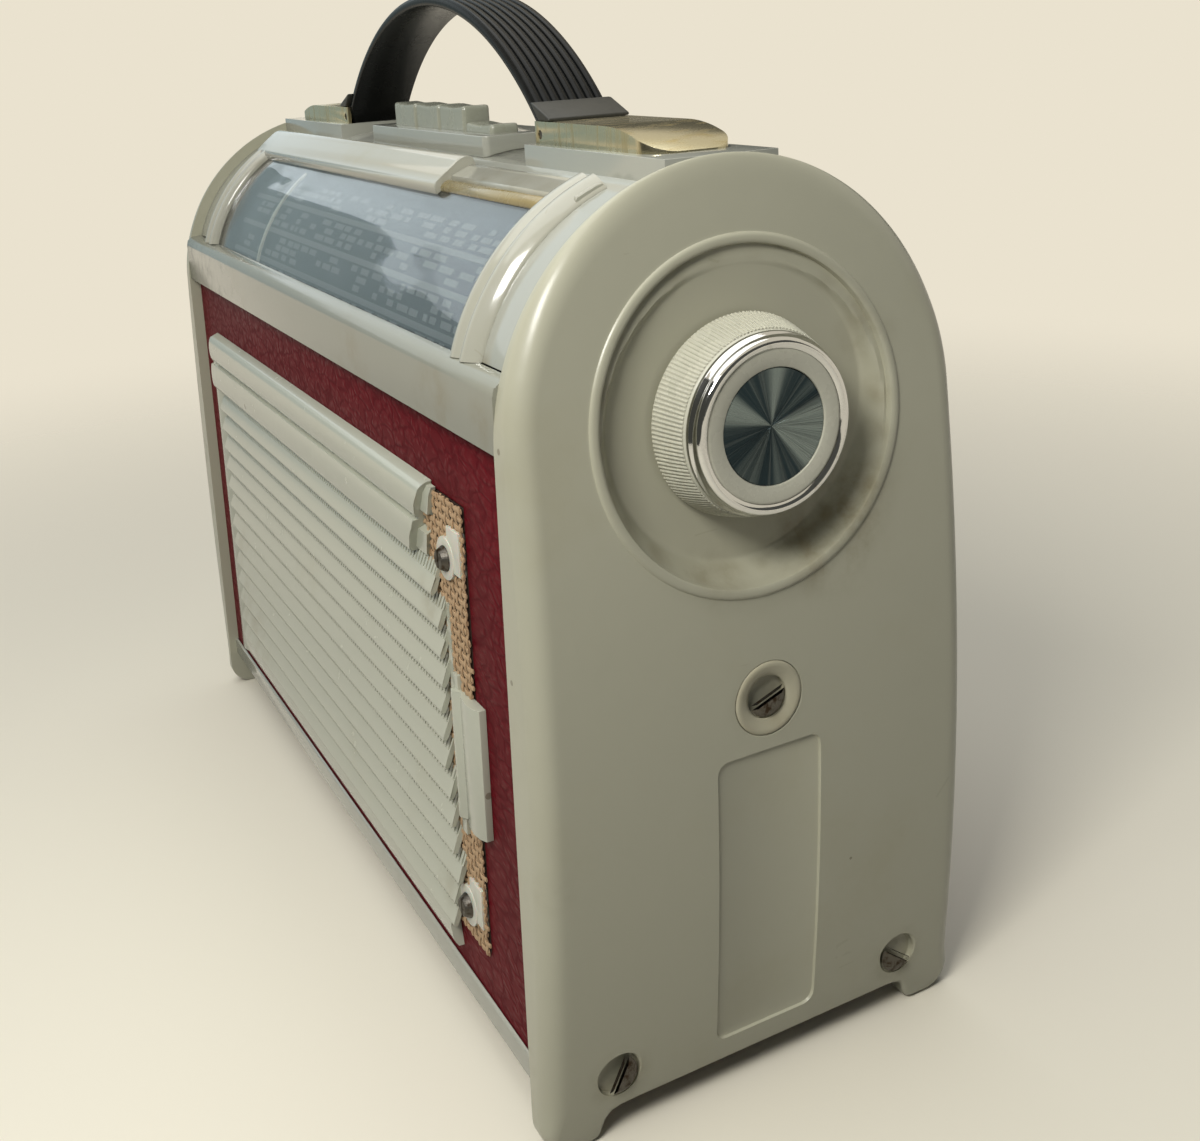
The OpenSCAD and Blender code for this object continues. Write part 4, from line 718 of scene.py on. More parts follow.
print_tree, g_in, g_out = effect("Printed fields", [
    ("Geometry", "Geometry", None), ("Field height", "Float", 0.0017), ("Thickness", "Float", 0.00006),
    ("Finish", "Material", None)], [("Geometry", "Geometry")], "GeometryNodeTree")
g_size = output(print_tree, "ShaderNodeCombineXYZ",
                {"X": 0.001, "Y": g_in["Thickness"], "Z": g_in["Field height"]})
g_field = output(print_tree, "GeometryNodeMeshCube",
                 {"Size": g_size, "Vertices X": 2, "Vertices Y": 2, "Vertices Z": 3})
g_grow = output(print_tree, "ShaderNodeCombineXYZ", {"X": carried(print_tree, "length"), "Y": 1.0, "Z": 1.0})
g_all = output(print_tree, "GeometryNodeInstanceOnPoints", {
    "Points": g_in["Geometry"], "Instance": g_field, "Scale": g_grow,
    "Rotation": spun(print_tree, (1.0, 0.0, 0.0), carried(print_tree, "tip"))})
last_steps(print_tree, g_all, g_in["Finish"], g_out["Geometry"])


def on_scale(x, along, lift=0.03):
    """A place on the scale from its x and its distance down the curve from the top of the arch."""
    a = along / SCALE_R
    r = SCALE_R + lift
    return (x, -r * math.sin(a), SPRING_Z + r * math.cos(a)), a + math.pi / 2


pale_ink = bpy.data.materials.new("Pale printing ink")
pale_ink.use_nodes = True
shader = pale_ink.node_tree.nodes["Principled BSDF"]
shader.inputs["Base Color"].default_value = (0.19, 0.205, 0.21, 1)
shader.inputs["Roughness"].default_value = 0.55
dice = random.Random(11)
places, lengths, tips = [], [], []
for row in range(13):
    along = 28.6 + row * 2.05
    x = -80.0 + dice.uniform(0, 6)
    while x < 84:
        w = dice.uniform(2.0, 7.5)
        if dice.random() < 0.66 and row % 4 != 3 and x + w < 86:
            place_at, a = on_scale(x + w / 2, along)
            places.append(place_at)
            lengths.append(w)
            tips.append(a)
        x += w + dice.uniform(0.8, 3.6)
for k in range(85):
    place_at, a = on_scale(-84 + 2 * k, 54.6 if k % 5 else 54.1)
    places.append(place_at)
    lengths.append(0.35)
    tips.append(a)
for along in (34.9, 43.1, 51.3):
    place_at, a = on_scale(0, along)
    for k in range(17):
        places.append((-80 + 10 * k, place_at[1], place_at[2]))
        lengths.append(10.0)
        tips.append(a)
fields = grown("scale_fields", places, print_tree,
               {"Field height": 0.0014, "Thickness": 0.00006, "Finish": pale_ink},
               [("length", lengths), ("tip", tips)])
piece("scale_printing", fields, pale_ink)
number_points, number_faces = [], []
for k, words in enumerate(("52", "60", "70", "80", "90", "100", "120", "140", "160")):
    curve = bpy.data.curves.new("number", "FONT")
    curve.body, curve.size, curve.align_x = words, 0.0034, "CENTER"
    holder = bpy.data.objects.new("number", curve)
    bpy.context.collection.objects.link(holder)
    bpy.context.view_layer.update()
    flat = bpy.data.meshes.new_from_object(holder.evaluated_get(bpy.context.evaluated_depsgraph_get()))
    start = len(number_points)
    for v in flat.vertices:
        at, _ = on_scale(-72 + 18 * k + v.co.x * 1000, 57.6 - v.co.y * 1000, 0.05)
        number_points.append(at)
    number_faces += [[start + i for i in p.vertices] for p in flat.polygons]
    bpy.data.objects.remove(holder)
sheet_mesh = bpy.data.meshes.new("scale_numbers")
sheet_mesh.from_pydata([[c * MM for c in p] for p in number_points], [], number_faces)
piece("scale_numbers", sheet_mesh, pale_ink)


# Pointer: a pale moulded needle that stands up behind the lens. It slides on a steel rod under the sill,
# where the drive cord draws it along.
pointer_plastic = plastic("Ivory pointer plastic", (0.62, 0.60, 0.50), (0.55, 0.52, 0.40), 0.35, 0.4)
refined("dial_pointer", pointer_plastic, "moulded_pointer", body="dial_pointer", rounding=0.15)
bare_steel = metal("Bare steel", (0.42, 0.41, 0.39), (0.26, 0.23, 0.19), 0.3, 0.35, 240.0)
dress(bare_steel, "bare_steel", "pointer_rail")


# Lens: a curved sheet of clear acrylic, snapped in between the sill and the frame. It is a little dusty
# and not quite even.
lens_clear, tree, shader, place = surface("Clear acrylic")
shader.inputs["Base Color"].default_value = (0.93, 0.96, 0.97, 1)
shader.inputs["Transmission Weight"].default_value = 1.0
shader.inputs["IOR"].default_value = 1.49
dust = placed(tree, blotches, Vector=place, Scale=60.0, Cover=0.45, Blur=0.5)["Mask"]
tree.links.new(remap(tree, dust, 0.0, 1.0, 0.02, 0.10, False), shader.inputs["Roughness"])
bumped(tree, shader, noise(tree, place, 26.0, 1.0), 0.0004)
refined("dial_lens", lens_clear, "clear_dial_lens", rounding=0, angle=30)


# Keys: four moulded push keys side by side in a raised plinth, each on its stem. Their edges are rounded
# and their tops are dished across their width. The fourth is down.
key_plastic = plastic("Key plastic", (0.33, 0.335, 0.26), (0.29, 0.28, 0.19), 0.28, 0.5, (), 0.3)
refined("key_plinth", cover_plastic, "moulded_key_plinth", rounding=0.5)
KEY_PITCH, KEY_W, KEY_TOP, KEY_TRAVEL, KEY_Y, KEY_DEPTH = 16.0, 15.4, 193.0, 3.8, -2.8, 7.0


def key_form(k):
    """The block of one key, with rounded edges and a top dished across its width."""
    rows = []
    middle, top = (k - 2.5) * KEY_PITCH, KEY_TOP - (KEY_TRAVEL if k == 4 else 0.0)
    half, edge = KEY_W / 2, 0.8
    stations = [(-half, edge), (-half + 0.12, 0.45), (-half + 0.4, 0.15), (-half + edge, 0.0), (-6.7, 0.0)]
    stations += [(-6 + 1.2 * i, 0.0) for i in range(11)]
    stations += [(-x, inset) for x, inset in reversed(stations[:5])]
    for x, inset in stations:
        crest = top - 0.3 * math.cos(math.pi * x / KEY_W) ** 2 - inset
        y0, y1 = KEY_Y - KEY_DEPTH / 2 + inset, KEY_Y + KEY_DEPTH / 2 - inset
        section = [(y0, top - 9.4), (y0, crest - 1.1), (y0, crest - 0.8), (y0 + 0.12, crest - 0.35),
                   (y0 + 0.4, crest - 0.1), (y0 + 0.8, crest), (y1 - 0.8, crest), (y1 - 0.4, crest - 0.1),
                   (y1 - 0.12, crest - 0.35), (y1, crest - 0.8), (y1, crest - 1.1), (y1, top - 9.4)]
        rows.append([(middle + x, y, z) for y, z in section])
    return closed_mesh("key_%d_block" % k, *lofted(rows))


for k in (1, 2, 3, 4):
    lo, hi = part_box("key_%d" % k)
    left, right = 16 * k - 42.5, 16 * k - 37.5
    stem_rows = [[(left, -4.8, z), (right, -4.8, z), (right, -0.8, z), (left, -0.8, z)]
                 for z in (lo.z * 1000, hi.z * 1000 - 9.0)]
    both = joined("moulded_key_%d" % k, key_form(k), closed_mesh("stem", *lofted(stem_rows)))
    piece("moulded_key_%d" % k, both, key_plastic, "key_%d" % k, ["key_%d" % k], 30)


# Strap: a moulded black carrying strap with eight ribs along its outer face, bent over a strip of spring
# steel. Its ends run into the hoods.
row_tree, g_in, g_out = effect("Row of copies", [
    ("Geometry", "Geometry", None), ("Copy", "Object", None), ("Finish", "Material", None)],
    [("Geometry", "Geometry")], "GeometryNodeTree")
g_copy = node(row_tree, "GeometryNodeObjectInfo", {"Object": g_in["Copy"]}).outputs["Geometry"]
g_all = output(row_tree, "GeometryNodeInstanceOnPoints", {
    "Points": g_in["Geometry"], "Instance": g_copy,
    "Rotation": spun(row_tree, (1.0, 0.0, 0.0), carried(row_tree, "turn"))})
last_steps(row_tree, g_all, g_in["Finish"], g_out["Geometry"])


def repeated(name, copy_points, copy_faces, places, turns, finish):
    """Copies of one small solid at the given places, each turned about X."""
    single = bpy.data.objects.new(name + "_one", closed_mesh(name + "_one", copy_points, copy_faces))
    bpy.context.collection.objects.link(single)
    mesh = grown(name, places, row_tree, {"Copy": single, "Finish": finish}, [("turn", turns)])
    bpy.data.objects.remove(single)
    return mesh


def swept(section, path):
    """A solid with a closed section of (across, up) points carried along path, a list of
    (place, across direction, up direction)."""
    rows = []
    for at, across, up in path:
        rows.append([tuple(Vector(at) + Vector(across) * a + Vector(up) * b) for a, b in section])
    return lofted(rows)


STRAP_R, STRAP_Z, STRAP_W, STRAP_T = 85.2, 134.0, 17.0, 2.6
strap_black, tree, shader, place = surface("Black strap")
patch = placed(tree, blotches, Vector=place, Scale=70.0, Cover=0.5, Blur=0.4)["Mask"]
colour = mixed(tree, patch, (0.003, 0.0035, 0.0035), (0.008, 0.009, 0.009))
tree.links.new(colour, shader.inputs["Base Color"])
tree.links.new(remap(tree, patch, 0.0, 1.0, 0.26, 0.42, False), shader.inputs["Roughness"])
shader.inputs["Specular IOR Level"].default_value = 0.14
bumped(tree, shader, noise(tree, place, 700.0), 0.00003)
end_turn = math.asin(66.0 / STRAP_R)
arc = []
for k in range(121):
    a = -end_turn + 2 * end_turn * k / 120
    up = (math.sin(a), 0, math.cos(a))
    arc.append(((STRAP_R * up[0], 0, STRAP_Z + STRAP_R * up[2]), (0, 1, 0), up))
h = STRAP_W / 2
core = [(-h + 0.3, -STRAP_T), (h - 0.3, -STRAP_T), (h, -STRAP_T + 0.3), (h, -0.9), (h - 0.25, -0.55),
        (-h + 0.25, -0.55), (-h, -0.9), (-h, -STRAP_T + 0.3)]
core_mesh = closed_mesh("strap_core", *swept(core, arc))
ribs = 8
pitch = (STRAP_W - 0.4) / ribs
rib = [(-0.42 * pitch, -0.7), (0.42 * pitch, -0.7), (0.40 * pitch, -0.3), (0.28 * pitch, -0.07), (0, 0.0),
       (-0.28 * pitch, -0.07), (-0.40 * pitch, -0.3)]
rib_places = [(0, (i - (ribs - 1) / 2) * pitch, 0) for i in range(ribs)]
rib_mesh = repeated("strap_ribs", *swept(rib, arc), rib_places, [0.0] * ribs, strap_black)
piece("ribbed_strap", joined("ribbed_strap", core_mesh, rib_mesh), strap_black,
      stands_for=["handle_strap"], angle=50)


# Hoods and sleeves: bent and plated brass hoods over the strap's ends, worn to the brass in places, each
# with a dark rubber sleeve in its mouth. A steel pin holds each end of the strap.
# The worn patches are drawn out into upright streaks, which are partly wear and partly painted reflection.
hood_metal = metal("Worn plated brass with painted streak reflections", (0.55, 0.50, 0.34), (0.45, 0.37, 0.19), 0.24, 0.5, 150.0,
                   rough_worn=0.36, dent=0.00001, drawn=(2.5, 0.8, 0.25))
sleeve_rubber = plastic("Dark sleeve rubber", (0.026, 0.026, 0.021), (0.042, 0.040, 0.032), 0.5, 0.5, (),
                        0.0, 0.0)
for end in ("right", "left"):
    refined("handle_hood_" + end, hood_metal, "bent_hood_" + end, rounding=0.35, segments=3)
    refined("handle_collar_" + end, sleeve_rubber, "strap_sleeve_" + end,
            rounding=0.35)
dress(screw_metal, "screw_metal", "strap_pins")


# Speaker cloth: a coarse cane-coloured weave stretched over the baffle. Its right edge, laid bare by the
# broken grille, is frayed and lies over the leathercloth.
LEAN = math.atan((FOOT_HALF - ARCH_R) / SPRING_Z)


def on_front(x, depth, z):
    """A place on the leaning front: depth behind the caps' outline, z up the slope."""
    c, s = math.cos(LEAN), math.sin(LEAN)
    return (x, -FOOT_HALF + depth * c + z * s, z * c - depth * s)


cloth_fibre, tree, shader, place = surface("Cane-coloured cloth")
patch = placed(tree, blotches, Vector=place, Scale=190.0, Cover=0.5, Blur=0.4)["Mask"]
hair = noise(tree, place, 1500.0)
colour = mixed(tree, patch, (0.44, 0.29, 0.16), (0.34, 0.20, 0.10))
colour = mixed(tree, math_node(tree, "MULTIPLY", hair, 0.5), colour, (0.55, 0.39, 0.23))
tree.links.new(colour, shader.inputs["Base Color"])
shader.inputs["Roughness"].default_value = 0.8
bumped(tree, shader, hair, 0.0001)
# The cloth's own sheet, under the threads and behind the louvres, is painted near black as the shade there,
# though the cloth is cane-coloured.
cloth_painted_shade = bpy.data.materials.new("Cloth sheet in painted shade")
cloth_painted_shade.use_nodes = True
shader = cloth_painted_shade.node_tree.nodes["Principled BSDF"]
shader.inputs["Base Color"].default_value = (0.035, 0.016, 0.008, 1)
shader.inputs["Roughness"].default_value = 0.9
dress(cloth_painted_shade, "cloth", "speaker_cloth")

weave_tree, g_in, g_out = effect("Wavy threads", [
    ("Geometry", "Geometry", None), ("Half width", "Float", 0.0007), ("Half thickness", "Float", 0.00022),
    ("Wave", "Float", 0.00022), ("Wave pitch", "Float", 0.0044), ("Wander", "Float", 0.00025),
    ("Finish", "Material", None)], [("Geometry", "Geometry")], "GeometryNodeTree")
# Each vertex is the start of a thread; its attributes give the thread's length, direction and phase
g_line = output(weave_tree, "GeometryNodeMeshLine", {"Count": 121, "Offset": (0.001, 0.0, 0.0)})
g_dir = carried(weave_tree, "turn")
g_scale = output(weave_tree, "ShaderNodeCombineXYZ", {"X": carried(weave_tree, "length"), "Y": 1.0, "Z": 1.0})
g_threads = output(weave_tree, "GeometryNodeInstanceOnPoints", {
    "Points": g_in["Geometry"], "Instance": g_line, "Scale": g_scale,
    "Rotation": spun(weave_tree, (0.0, 1.0, 0.0), g_dir)})
g_threads = output(weave_tree, "GeometryNodeRealizeInstances", {0: g_threads})
g_threads = output(weave_tree, "GeometryNodeMeshToCurve", {"Mesh": g_threads})
# How far along its thread each point is, whichever way the thread runs, gives its place in the wave
g_pos = output(weave_tree, "GeometryNodeInputPosition", {})
g_xyz = node(weave_tree, "ShaderNodeSeparateXYZ", {0: g_pos})
g_up = math_node(weave_tree, "ABSOLUTE", math_node(weave_tree, "SINE", g_dir))
g_level = math_node(weave_tree, "SUBTRACT", 1.0, g_up)
g_along = math_node(weave_tree, "ADD", math_node(weave_tree, "MULTIPLY", g_xyz.outputs["Z"], g_up),
                    math_node(weave_tree, "MULTIPLY", g_xyz.outputs["X"], g_level))
g_arg = math_node(weave_tree, "DIVIDE", g_along, g_in["Wave pitch"])
g_arg = math_node(weave_tree, "MULTIPLY", g_arg, 2 * math.pi)
g_arg = math_node(weave_tree, "ADD", g_arg, carried(weave_tree, "phase"))
g_wave = math_node(weave_tree, "MULTIPLY", math_node(weave_tree, "SINE", g_arg), g_in["Wave"])
g_noise = node(weave_tree, "ShaderNodeTexNoise", {"Vector": g_pos, "Scale": 220.0})
g_off = output(weave_tree, "ShaderNodeVectorMath", {0: g_noise.outputs["Color"], 1: (0.5, 0.5, 0.5)},
               operation="SUBTRACT")
g_off = output(weave_tree, "ShaderNodeVectorMath", {0: g_off, "Scale": g_in["Wander"]}, operation="SCALE")
g_off = node(weave_tree, "ShaderNodeSeparateXYZ", {0: g_off})
g_move = output(weave_tree, "ShaderNodeCombineXYZ",
                {"X": g_off.outputs["X"], "Y": g_wave, "Z": g_off.outputs["Z"]})
g_threads = output(weave_tree, "GeometryNodeSetPosition", {"Geometry": g_threads, "Offset": g_move})
g_norm = node(weave_tree, "GeometryNodeSetCurveNormal", {"Curve": g_threads}, mode="FREE")
g_norm.inputs["Normal"].default_value = (0.0, -1.0, 0.0)
g_ring = output(weave_tree, "GeometryNodeCurvePrimitiveCircle", {"Resolution": 6, "Radius": 1.0})
g_flat = output(weave_tree, "ShaderNodeCombineXYZ",
                {"X": g_in["Half thickness"], "Y": g_in["Half width"], "Z": 1.0})
g_flat = output(weave_tree, "GeometryNodeTransform", {"Geometry": g_ring, "Scale": g_flat})
g_tube = output(weave_tree, "GeometryNodeCurveToMesh",
                {"Curve": g_norm.outputs[0], "Profile Curve": g_flat, "Fill Caps": True})
last_steps(weave_tree, g_tube, g_in["Finish"], g_out["Geometry"])

dice = random.Random(4)
starts, spans, turns, phases = [], [], [], []
THREAD_PITCH, CLOTH_LEFT, CLOTH_FOOT, CLOTH_DEPTH = 1.9, 74.0, 26.8, 2.45
for k in range(10):
    starts.append((76.9 + THREAD_PITCH * k + dice.uniform(-0.1, 0.1), CLOTH_DEPTH, CLOTH_FOOT))
    spans.append((123.5 - dice.uniform(0, 0.6) - CLOTH_FOOT) / 120)
    turns.append(-math.pi / 2)
    phases.append(math.pi * (k % 2))
for k in range(51):
    z = 27.7 + THREAD_PITCH * (k - 0.05) + dice.uniform(-0.1, 0.1)
    right = 95.0 + dice.uniform(-0.7, 0.9) - (0.6 if 60 < z < 84 else 0)
    starts.append((CLOTH_LEFT, CLOTH_DEPTH, min(z, 122.9)))
    spans.append((right - CLOTH_LEFT) / 120)
    turns.append(0.0)
    phases.append(math.pi * (k % 2) + math.pi)
weave = grown("cloth_weave", starts, weave_tree,
              {"Half width": 0.00052, "Half thickness": 0.0002, "Wave": 0.0002, "Wave pitch": 0.0038,
               "Wander": 0.0004, "Finish": cloth_fibre},
              [("length", spans), ("turn", turns), ("phase", phases)])


def lean_back(mesh):
    """Carries a flat form, made as (x, depth, height), onto the leaning front."""
    for v in mesh.vertices:
        v.co = Vector([c * MM for c in on_front(v.co.x * 1000, v.co.y * 1000, v.co.z * 1000)])


lean_back(weave)
piece("cloth_weave", weave, cloth_fibre, angle=60)


# Grille: one ivory moulding of thirteen leaning louvres between a double-ridged top rail, a bottom rail
# and a left border. Under each louvre's lip is a row of fine slits for the sound. Its right end is broken.
grille_plastic = plastic("Ivory grille plastic", (0.455, 0.46, 0.365), (0.40, 0.385, 0.275), 0.22, 0.35,
                         [(-85, -47, 30, 30, 0.35), (-90, -47, 60, 18, 0.3), (80, -47, 100, 8, 0.35),
                          (78, -48, 35, 8, 0.3)], 0.35, 0.02)
GRILLE_HALF, LOUVRES, LOUVRES_RISE, LOUVRE_Z0 = 100.0, 13, 81.2, 26.8
BROKEN_X = 85.6
BROKEN = [-3.6, -0.4, 0.4, 0.2, -1.2, -1.6, -1.0, -0.6, -0.2, 0.3, 1.2, -1.4, -3.2]
p = LOUVRES_RISE / LOUVRES
SLIT_PITCH, SLIT_W = 1.45, 0.6
# Sections of a louvre as (depth, height): whole, and where a slit is cut into the slope
whole = [(0.15, 0.75), (0.07, 0.42), (0.16, 0.08), (0.5, -0.12), (0.95, 0.05), (1.35, 0.8), (2.9, p * 0.78),
         (2.95, p + 0.15), (2.25, p + 0.15), (1.32, p * 0.625), (1.25, p * 0.6)]
slit = whole[:7] + [(2.95, p + 0.15), (2.85, p + 0.15), (2.25, p * 0.64), (1.25, p * 0.6)]
stations = [(0.0, whole), (0.44, whole), (0.45, slit), (0.45 + SLIT_W, slit), (0.46 + SLIT_W, whole),
            (SLIT_PITCH, whole)]
cell_points, cell_faces = [], []
for x, section in stations:
    cell_points += [(x, d, z) for d, z in section]
for k in range(len(stations) - 1):
    band(cell_faces, k * len(whole), (k + 1) * len(whole), len(whole))

louvre_tree, g_in, g_out = effect("Louvres with slits", [
    ("Geometry", "Geometry", None), ("Cell", "Object", None), ("Cells", "Int", 130),
    ("Cell pitch", "Float", 0.00145), ("Finish", "Material", None)],
    [("Geometry", "Geometry")], "GeometryNodeTree")
g_step = output(louvre_tree, "ShaderNodeCombineXYZ", {"X": g_in["Cell pitch"]})
g_line = output(louvre_tree, "GeometryNodeMeshLine", {"Count": g_in["Cells"], "Offset": g_step})
g_rows = output(louvre_tree, "GeometryNodeInstanceOnPoints", {"Points": g_in["Geometry"], "Instance": g_line})
g_rows = output(louvre_tree, "GeometryNodeRealizeInstances", {0: g_rows})
g_pos = output(louvre_tree, "GeometryNodeInputPosition", {})
g_x = output(louvre_tree, "ShaderNodeSeparateXYZ", {0: g_pos})
g_past = math_node(louvre_tree, "GREATER_THAN", g_x, carried(louvre_tree, "end"))
g_kept = output(louvre_tree, "GeometryNodeDeleteGeometry", {"Geometry": g_rows, "Selection": g_past},
                domain="POINT")
g_cell = node(louvre_tree, "GeometryNodeObjectInfo", {"Object": g_in["Cell"]}).outputs["Geometry"]
g_cells = output(louvre_tree, "GeometryNodeInstanceOnPoints", {"Points": g_kept, "Instance": g_cell})
g_cells = output(louvre_tree, "GeometryNodeRealizeInstances", {0: g_cells})
g_cells = output(louvre_tree, "GeometryNodeMergeByDistance", {"Geometry": g_cells, "Distance": 0.000004})
last_steps(louvre_tree, g_cells, g_in["Finish"], g_out["Geometry"])

cell_mesh = bpy.data.meshes.new("louvre_cell")
cell_mesh.from_pydata([[c * MM for c in q] for q in cell_points], [], [list(reversed(f)) for f in cell_faces])
cell = bpy.data.objects.new("louvre_cell", cell_mesh)
bpy.context.collection.objects.link(cell)
louvre_starts = [(-GRILLE_HALF + 6.4, 0.0, LOUVRE_Z0 + p * (LOUVRES - 1 - i)) for i in range(LOUVRES)]
louvre_ends = [(BROKEN_X + b - SLIT_PITCH) * MM for b in BROKEN]
blades = grown("louvres", louvre_starts, louvre_tree,
               {"Cell": cell, "Cells": 132, "Cell pitch": SLIT_PITCH * MM, "Finish": grille_plastic},
               [("end", louvre_ends)])
bpy.data.objects.remove(cell)
# The open ends are closed, and the broken right ends are made uneven
form = bmesh.new()
form.from_mesh(blades)
bmesh.ops.holes_fill(form, edges=[e for e in form.edges if e.is_boundary], sides=40)
dice = random.Random(8)
for end in [f for f in form.faces if len(f.verts) > 8 and f.calc_center_median().x > 0.07]:
    for v in end.verts:
        v.co.x += dice.uniform(-0.2, 0.2) * MM
bmesh.ops.recalc_face_normals(form, faces=form.faces)
form.to_mesh(blades)
form.free()
lean_back(blades)


def rail(section, x0, x1, ragged, slant, seed):
    """A bar of the grille from x0 to x1 with a section of (depth, height) and a broken right end, which
    slants by slant and is uneven by ragged."""
    dice = random.Random(seed)
    low, high = min(z for _, z in section), max(z for _, z in section)
    left = [on_front(x0, d, z) for d, z in section]
    right = []
    for d, z in section:
        push = slant * (z - low) / (high - low) + dice.uniform(-ragged, ragged)
        right.append(on_front(x1 + push, d, z))
    return lofted([left, right])


def ridge(z0, radius, deep):
    """Half-round ridge points from (deep, z0) up to (deep, z0 + 2 radius), out to depth -0.25."""
    turns = [math.pi * i / 9 for i in range(10)]
    return [(deep - (deep + 0.25) * math.sin(a) ** 0.8, z0 + radius - radius * math.cos(a)) for a in turns]


top_z = LOUVRE_Z0 + LOUVRES_RISE
front_ridges = [(0.6, top_z - 0.35), (0.3, top_z - 0.1)] + ridge(top_z + 0.2, 3.65, 0.3)[1:-1]
front_ridges += [(1.1, top_z + 7.6)] + ridge(top_z + 8.0, 3.9, 1.1)
front_ridges += [(1.9, top_z + 16.2), (2.9, top_z + 16.6), (2.9, top_z - 0.3)]
rails = [closed_mesh("rail", *rail(front_ridges, -GRILLE_HALF + 0.5, 71.0, 0.25, 8.0, 3))]
# What is left of the rail behind the broken ridges, with a round blind hole for a peg
stub = [(1.5, top_z + 0.6), (1.35, top_z + 3), (1.3, top_z + 9), (1.4, top_z + 14), (2.0, top_z + 15.6),
        (2.9, top_z + 15.8), (2.9, top_z + 0.4)]
stub_mesh = closed_mesh("stub", *rail(stub, 64.0, 77.2, 0.6, 3.4, 5))
hole_points, hole_faces = turned([(0, 70.5), (2.2, 70.5), (2.3, 90), (0, 90)], 0, 0, 28)
hole_at = on_front(0, 1.25, top_z + 7.6)
hole_points = [(x, y + hole_at[1], z + hole_at[2]) for x, y, z in hole_points]
rails.append(cut("stub_with_hole", stub_mesh, [(hole_points, hole_faces)]))
low_rail = [(2.95, 20.1), (1.7, 20.2), (1.15, 21.0), (0.8, 22.4), (0.7, 24.2), (0.85, 25.6), (1.3, 26.6),
            (2.2, 27.1), (2.95, 27.2)]
rails.append(closed_mesh("low_rail", *rail(low_rail, -GRILLE_HALF + 0.5, 79.4, 0.4, -1.5, 6)))
border = [(0, 2.95), (0.15, 1.9), (0.7, 1.05), (1.7, 0.5), (3.2, 0.38), (4.8, 0.6), (6.2, 1.15),
          (7.2, 1.6), (7.2, 2.95)]
border_rows = []
heights = [20.6, 21.2, 60.0, 100.0, top_z + 12.2, top_z + 13.4]
for z in heights:
    shrink = 0.5 if z in (heights[0], heights[-1]) else 0.0
    border_rows.append([on_front(-GRILLE_HALF + a + shrink * (1 if a < 3 else -1), min(d + shrink, 2.95), z)
                        for a, d in border])
rails.append(closed_mesh("left_border", *lofted(border_rows)))
back_strip = [(2.1, 58), (2.95, 58), (2.95, 101), (2.1, 101)]
rails.append(closed_mesh("back_strip", *rail(back_strip, 84.4, 86.4, 0.3, 0.0, 2)))
piece("louvred_grille", joined("louvred_grille", blades, *rails), grille_plastic,
      stands_for=["speaker_grille"], angle=40)


# The broken border: one length of the right border is still fixed over the cloth. Two translucent
# spacers with a screw each show where the lost ends were held.
refined("grille_border_piece", grille_plastic, "moulded_border_piece", rounding=0.3,
        turn=20)
spacer_plastic = plastic("Translucent spacer plastic", (0.62, 0.60, 0.50), (0.50, 0.45, 0.31), 0.35, 0.5,
                         (), 0.0, 0.0)
shader = spacer_plastic.node_tree.nodes["Principled BSDF"]
shader.inputs["Subsurface Weight"].default_value = 0.25
shader.inputs["Subsurface Scale"].default_value = 0.001
refined("grille_standoffs", spacer_plastic, "clear_spacers", rounding=0.35)
refined("grille_screws", screw_metal, "small_grille_screws", rounding=0.12, segments=2)


# Knobs: cream moulded knobs with a fluted skirt, a plated ring pressed round a pale flat ring, and a
# shallow cone of spun metal in the middle. The left one is the same knob for the volume.
knob_plastic = plastic("Cream knob plastic", (0.54, 0.525, 0.42), (0.49, 0.465, 0.345), 0.3, 0.4, (),
                       0.15, 0.0)
ring_plate = metal("Plated knob ring", (0.60, 0.60, 0.59), (0.34, 0.31, 0.27), 0.07, 0.3, 420.0,
                   rough_worn=0.3, dent=0.000006)
SKIRT_X, RING_X = 121.4, 129.6
body_profile = [(3.05, SKIRT_X), (18.7, SKIRT_X), (19.0, SKIRT_X + 0.25), (18.95, SKIRT_X + 0.8),
                (17.15, RING_X - 0.6), (16.8, RING_X - 0.1), (14.25, RING_X + 0.0), (14.15, RING_X + 0.2),
                (14.15, 132.35), (14.0, 132.48), (13.6, 132.5), (11.2, 132.42), (10.9, 132.3), (10.82, 132.1),
                (10.82, 130.95), (3.05, 130.95)]
ring_profile = [(14.2, RING_X + 0.05), (16.6, RING_X), (16.95, RING_X + 0.15), (17.0, RING_X + 0.6),
                (16.85, RING_X + 1.0), (16.5, RING_X + 1.35), (16.35, RING_X + 2.0), (16.2, RING_X + 2.7),
                (15.85, RING_X + 3.15), (15.4, RING_X + 3.38), (14.9, RING_X + 3.35), (14.45, RING_X + 3.05),
                (14.2, RING_X + 2.85)]
disc_profile = [(0, 130.98), (10.75, 130.98), (10.78, 132.0), (10.6, 132.12), (10.4, 132.1),
                (0.25, 131.22), (0, 131.2)]
flute = [(-0.27, -0.05), (0.27, -0.05), (0.22, 0.2), (0.0, 0.3), (-0.22, 0.2)]

spun_metal, tree, shader, place = surface("Spun metal cone")
centred = output(tree, "ShaderNodeMapping", {"Vector": place, "Location": (0.0, 0.0, -KNOB_Z * MM)})
axes = node(tree, "ShaderNodeSeparateXYZ", {0: centred})
around = math_node(tree, "ARCTAN2", axes.outputs["Z"], axes.outputs["Y"])
spread = output(tree, "ShaderNodeCombineXYZ", {"X": math_node(tree, "COSINE", around),
                                               "Y": math_node(tree, "SINE", around)})
